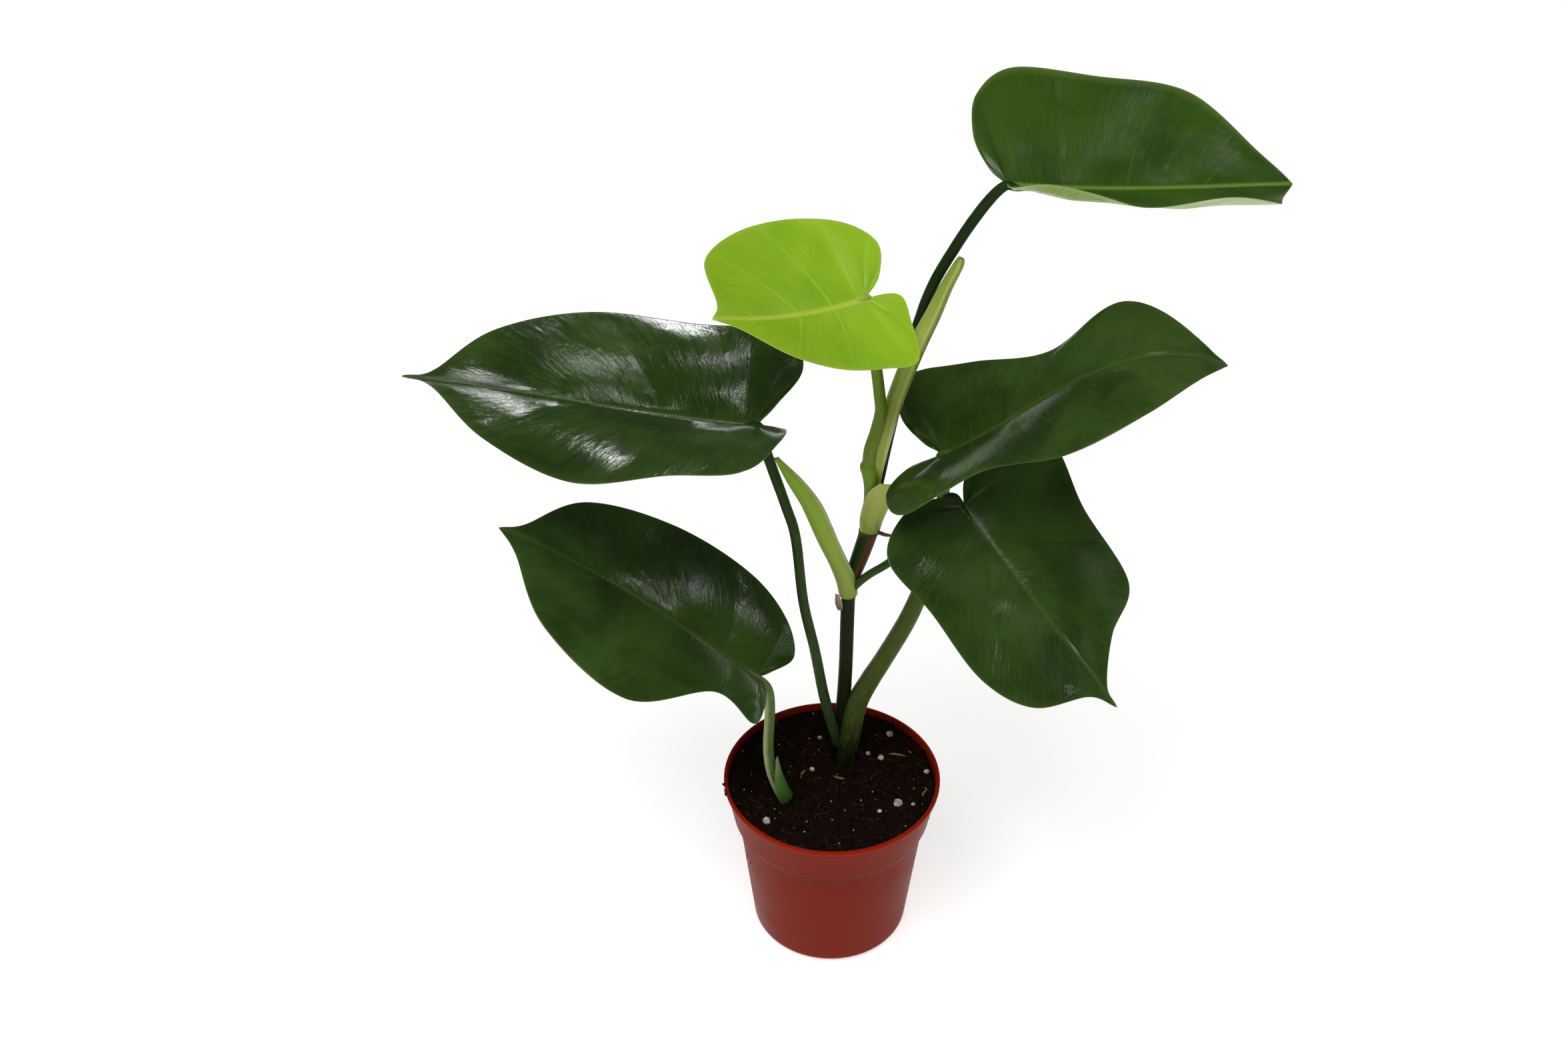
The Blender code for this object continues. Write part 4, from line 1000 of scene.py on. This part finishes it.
def stalk_finish(name, stops, streak_colour, painted_light_colour=None, gloss=(0.28, 0.45)):
    """Stalk skin: colour by stops along the stalk, fine lengthwise streaks, and maybe painted light that
    makes its left side paler.
    """
    made = Finish(name, shine=0.05)
    soft = made.noise(240, detail=4)
    tone = made.zones(made.math("MULTIPLY_ADD", soft, 0.06, made.value("along")), stops)
    streak = skin_streaks(made)
    if painted_light_colour:
        # Painted light: the side that faces -X is painted paler, as if the lamp lit it.
        side = made.math("MULTIPLY_ADD", soft, 0.5, made.facing("X"))
        tone = made.blend(made.band(side, -0.4, 0.35, 0.8, 0), tone, painted_light_colour)
    tone = made.blend(made.band(streak, 0.48, 0.74, 0, 0.5), tone, streak_colour)
    speck = made.band(made.noise(1500, detail=2), 0.66, 0.72, 0, 0.4)
    tone = made.blend(speck, tone, streak_colour)
    made.paint(tone, made.band(soft, 0.3, 0.7, *gloss))
    made.relief(streak, 0.2 * MM, 0.5)
    return made.material


STALK_FINISH = {
    "right": stalk_finish(
        "thick stalk",
        (
            (0, 0.008, 0.01, 0.003), (0.14, 0.012, 0.018, 0.005), (0.22, 0.045, 0.065, 0.012),
            (0.4, 0.062, 0.09, 0.014), (1, 0.07, 0.12, 0.02),
        ),
        (0.14, 0.17, 0.045),
    ),
    "left": stalk_finish(
        "left stalk",
        ((0, 0.02, 0.035, 0.01), (0.3, 0.035, 0.06, 0.018), (0.6, 0.03, 0.055, 0.012), (1, 0.02, 0.05, 0.01)),
        (0.1, 0.14, 0.05),
    ),
    "lower_left": stalk_finish(
        "mottled stalk",
        ((0, 0.01, 0.016, 0.005), (0.33, 0.03, 0.08, 0.012), (0.5, 0.08, 0.14, 0.03), (1, 0.12, 0.17, 0.05)),
        (0.3, 0.32, 0.16),
        painted_light_colour=(0.42, 0.46, 0.22),
        gloss=(0.4, 0.55),
    ),
    "top": stalk_finish(
        "top stalk",
        ((0, 0.02, 0.045, 0.008), (0.5, 0.012, 0.024, 0.005), (1, 0.02, 0.04, 0.01)),
        (0.06, 0.1, 0.03),
    ),
    "lower_right": stalk_finish(
        "slender stalk",
        ((0, 0.05, 0.09, 0.02), (0.5, 0.03, 0.06, 0.015), (1, 0.02, 0.045, 0.01)),
        (0.12, 0.18, 0.07),
    ),
    "young": stalk_finish(
        "young stalk",
        ((0, 0.19, 0.27, 0.03), (0.2, 0.15, 0.22, 0.02), (0.7, 0.2, 0.32, 0.03), (1, 0.5, 0.66, 0.1)),
        (0.33, 0.42, 0.14),
    ),
}
STALK_SLOTS = {"right": "green_stalk", "lower_left": "green_stalk", "young": "pale_green"}
for name, rows in STALKS.items():
    rows, finish = stalk_rows(rows, blades[name]), STALK_FINISH[name]
    slot = STALK_SLOTS.get(name, "dark_stalk")
    limb(f"leafstalk_{name}", rows, finish, slot, f"stalk_{name}", Spacing=1.0 * MM, Lumps=0.14 * MM)

# New leaf: still rolled up like an umbrella beside the youngest stalk. One edge laps over the other along
# a line that winds slowly up the roll.

ROLLED_LEAF = (
    (15.5, 12.5, 162, 3), (17.2, 13, 176, 3.6), (20, 13.6, 192, 4), (24.6, 14.2, 210, 4.1),
    (31.5, 15, 232, 4.2), (38, 15.8, 248, 3.7), (43, 16.6, 261, 3), (47.6, 17.2, 271, 2.4),
    (48.6, 17.4, 274, 1.6),
)


def frames(rows, facing=(0.3, -0.9, 0.2)):
    """Forward, back and side directions at each row, turned as little as possible from facing."""
    for along in np.gradient(rows[:, :3], axis=0):
        forward = Vector(along).normalized()
        back = Vector(facing) - forward * forward.dot(Vector(facing))
        back.normalize()
        yield forward, back, forward.cross(back)


def rolled_mesh(rows, lap=0.16, sides=40, twist=1.1):
    """A closed roll whose radius steps in where its free edge laps over."""
    points, edges = [], []
    for number, (row, (_, back, side)) in enumerate(zip(rows, frames(rows))):
        start = 0.5 - twist * number / len(rows)
        for turn in range(sides):
            share = turn / (sides - 1)
            angle = start + math.tau * turn / sides
            radius = float(row[3]) * (1 - lap * share)
            points.append(Vector(row[:3]) + radius * (math.cos(angle) * back + math.sin(angle) * side))
            edges.append(max(0, 1 - share * 7))
    faces = grid_faces(len(rows), sides, ring=True)
    faces += [tuple(range(sides))[::-1], tuple(range(len(points) - sides, len(points)))]
    along = np.repeat(np.linspace(0, 1, len(rows)), sides)
    return welded("rolled", points, faces, numbers={"along": along, "lap": edges})


rolled_skin = Finish("rolled leaf", roughness=0.4, shine=0.2)
rolled_soft = rolled_skin.noise(160, detail=4, stretch=(1, 1, 0.35))
rolled_stops = ((0, 0.28, 0.36, 0.05), (0.35, 0.38, 0.46, 0.07), (0.8, 0.3, 0.4, 0.06), (1, 0.2, 0.32, 0.05))
rolled_tone = rolled_skin.zones(rolled_skin.value("along"), rolled_stops)
rolled_cloud = rolled_skin.band(rolled_soft, 0.35, 0.75, 0, 0.6)
rolled_tone = rolled_skin.blend(rolled_cloud, rolled_tone, (0.5, 0.58, 0.12))
rolled_lap = rolled_skin.band(rolled_skin.value("lap"), 0.3, 1, 0, 0.75)
rolled_tone = rolled_skin.blend(rolled_lap, rolled_tone, (0.6, 0.66, 0.2))
rolled_skin.paint(rolled_tone, rolled_skin.band(rolled_soft, 0.3, 0.7, 0.34, 0.48))
rolled_skin.relief(rolled_soft, 0.3 * MM, 0.5)
rolled_leaf = rolled_mesh(above_soil(smooth(ROLLED_LEAF, 12)))
placed("rolled_leaf", rolled_leaf, rolled_skin.material, "pale_green", "rolled_new_leaf")

# Aerial root and buried roots: a short brown root leaves the stem below the hood, bent and ridged. The
# roots in the soil keep their CAD shape under an earthy skin.

AERIAL_ROOT = ((14.4, 12, 140, 0.9), (19, 8.5, 141, 0.9), (22, 5, 142.5, 0.8), (25, 2, 144.5, 0.4))
ROOT_SIZES = {"Spacing": 0.4 * MM, "Lumps": 0.35 * MM, "Fineness": 900.0}
root_skin = cloudy("root skin", 700, 4, (0.05, 0.012, 0.006), (0.2, 0.07, 0.03), 0.6, depth=0.3 * MM)
limb("stem_root", above_soil(smooth(AERIAL_ROOT, 8)), root_skin, "root_brown", "aerial_root", **ROOT_SIZES)
buried_skin = cloudy("buried root skin", 300, 4, (0.11, 0.05, 0.03), (0.42, 0.27, 0.16), 0.75, depth=0.4 * MM)
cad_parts["roots"].data.materials.clear()
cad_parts["roots"].data.materials.append(buried_skin)

# Sheaths: three leathery leaf bases that wrap the stem or a stalk, and a small dry bud scale. Each is a
# curved sheet, thickest along its back and thin at its free margins, with fine ribs from end to end.

# x, y, height above the soil, radius of the hollow, and how far round each side wraps, in degrees
SHEATHS = {
    "middle": (
        (6.4, 12, 104.5, 3.8, 100), (5, 11, 114, 4.2, 100), (1.6, 8.5, 127, 4.5, 82),
        (-2.2, 7, 139, 5.2, 72), (-5.6, 6, 150, 5.6, 68), (-10.2, 5, 163, 5.6, 65),
        (-17.5, 4, 176, 4.6, 60), (-25.5, 3.5, 186.5, 1.4, 50),
    ),
    "stem_top": (
        (14.2, 12, 141.5, 4.7, 85), (15, 12, 147, 5.1, 100), (16.8, 12, 155, 5.8, 100),
        (19, 12.5, 163, 6.6, 88), (20.4, 12.5, 169.5, 6.6, 58),
    ),
    "lower_left": (
        (-22.4, -13.8, 1.6, 3.7, 95), (-24.3, -13.6, 6, 3.7, 90), (-26.4, -13, 12, 3.6, 75),
        (-28, -12.6, 18, 3.5, 55), (-29.2, -12.2, 26, 3.2, 22),
    ),
    "bud_scale": (
        (2.9, 10.6, 97, 1.2, 60), (2.4, 10.1, 101, 1.6, 70), (1.7, 9.6, 106, 0.9, 50),
    ),
}
SHEATH_FACING = {
    "middle": (-0.45, -0.85, -0.2), "stem_top": (0.65, -0.75, 0.0), "lower_left": (0.95, -0.3, 0.0),
    "bud_scale": (-0.6, -0.8, 0.1),
}
SHEATH_THICKNESS = 0.8 * MM


def sheath_mesh(name, rows, facing, across=31, flare=0.3 * MM):
    """A curved sheet along the rows, hollow inside, that thins and flares a little at its margins."""
    rows = smooth(rows, 12)
    wraps = np.radians(rows[:, 4])
    rows = above_soil(rows[:, :4])
    inside, outside = [], []
    spread = np.linspace(-1, 1, across)
    for row, wrap, (_, back, side) in zip(rows, wraps, frames(rows, facing)):
        for share in spread.tolist():
            angle = float(wrap) * share
            way = math.cos(angle) * back + math.sin(angle) * side
            hollow = float(row[3]) + flare * share**4
            inside.append(Vector(row[:3]) + hollow * way)
            outside.append(Vector(row[:3]) + (hollow + SHEATH_THICKNESS * (1 - 0.75 * share**2)) * way)
    along = np.tile(np.repeat(np.linspace(0, 1, len(rows)), across), 2)
    shares = np.tile(spread, 2 * len(rows))
    numbers = {"along": along, "across": shares, "edge": np.abs(shares)}
    place = np.stack([along, shares], -1)
    mesh = welded(name, outside + inside, sheet_faces(len(rows), across), place, numbers)
    solid = bmesh.new()
    solid.from_mesh(mesh)
    bmesh.ops.recalc_face_normals(solid, faces=solid.faces)
    solid.to_mesh(mesh)
    solid.free()
    return mesh


def sheath_finish(name, stops, edge_colour, rib_colour, roughness=0.42, flank_colour=None):
    """Sheath skin: colour along its length, a pale margin, fine ribs, and maybe a colour on one flank."""
    made = Finish(name, roughness, shine=0.2)
    ribs = made.noise(1.0, detail=4, place=made.on_surface(), stretch=(2.5, 16, 1))
    soft = made.noise(180, detail=4)
    tone = made.zones(made.math("MULTIPLY_ADD", soft, 0.12, made.value("along")), stops)
    tone = made.blend(made.band(ribs, 0.42, 0.72, 0, 0.6), tone, rib_colour)
    if flank_colour:
        tone = made.blend(made.band(made.value("across"), -0.5, -0.05, 0.85, 0), tone, flank_colour)
    tone = made.blend(made.band(made.value("edge"), 0.72, 0.98, 0, 0.85), tone, edge_colour)
    made.paint(tone, made.band(soft, 0.3, 0.7, roughness - 0.06, roughness + 0.08))
    made.relief(ribs, 0.35 * MM, 0.6)
    return made.material


SHEATH_FINISH = {
    "middle": sheath_finish(
        "middle sheath",
        ((0, 0.18, 0.24, 0.04), (0.15, 0.27, 0.33, 0.06), (0.5, 0.27, 0.39, 0.03), (1, 0.24, 0.4, 0.02)),
        edge_colour=(0.5, 0.56, 0.26),
        rib_colour=(0.32, 0.44, 0.06),
        flank_colour=(0.4, 0.47, 0.17),
    ),
    "stem_top": sheath_finish(
        "hood",
        ((0, 0.13, 0.19, 0.02), (0.3, 0.25, 0.31, 0.04), (0.7, 0.38, 0.43, 0.075), (1, 0.47, 0.52, 0.13)),
        edge_colour=(0.5, 0.53, 0.17),
        rib_colour=(0.4, 0.45, 0.09),
    ),
    "lower_left": sheath_finish(
        "lower sheath",
        ((0, 0.02, 0.06, 0.01), (0.3, 0.05, 0.15, 0.02), (0.7, 0.09, 0.24, 0.03), (1, 0.35, 0.36, 0.2)),
        edge_colour=(0.12, 0.24, 0.05),
        rib_colour=(0.12, 0.26, 0.05),
    ),
    "bud_scale": sheath_finish(
        "dry scale",
        ((0, 0.16, 0.08, 0.04), (0.5, 0.3, 0.19, 0.11), (1, 0.42, 0.3, 0.2)),
        edge_colour=(0.5, 0.4, 0.28),
        rib_colour=(0.22, 0.12, 0.07),
        roughness=0.7,
    ),
}
SHEATH_SLOTS = {"lower_left": "green_stalk", "bud_scale": "bark"}
for name, rows in SHEATHS.items():
    node = name if name == "bud_scale" else f"sheath_{name}"
    mesh = sheath_mesh(f"wrap_{name}", rows, SHEATH_FACING[name])
    placed(f"wrap_{name}", mesh, SHEATH_FINISH[name], SHEATH_SLOTS.get(name, "pale_green"), node)

# Bark slivers: four splinters of bark and dead root on the soil, thin, curved and
# tapered at both ends.

# compass angle and share of the soil's radius, then the way the sliver lies and its length in millimetres
BARK_SLIVERS = ((26, 0.73, -12, 8), (163, 0.29, 62, 6), (11, 0.07, 160, 6), (-13, 0.93, 60, 5))
SLIVER_SHAPE = ((-0.5, 0.25), (-0.2, 0.6), (0.2, 0.5), (0.5, 0.2))  # place along it and radius in millimetres
SLIVER_SIZES = {"Sides": 12, "Spacing": 0.35 * MM, "Lumps": 0.3 * MM, "Fineness": 1400.0}
bark_skin = cloudy("bark", 800, 4, (0.12, 0.04, 0.018), (0.45, 0.24, 0.11), 0.85, depth=0.3 * MM)
for number, (compass, share, heading, length) in enumerate(BARK_SLIVERS, 1):
    way = Vector((math.cos(math.radians(heading)), math.sin(math.radians(heading)), 0))
    across = Vector((-way.y, way.x, 0))
    sliver = []
    for step, thick in SLIVER_SHAPE:
        centre = soil_point(compass, share) + way * step * length * MM + across * 2.5 * MM * (0.25 - step**2)
        centre.z += 0.55 * MM
        sliver.append((*centre, thick * MM))
    limb(f"splinter_{number}", smooth(sliver, 6), bark_skin, "bark", f"bark_sliver_{number}", **SLIVER_SIZES)
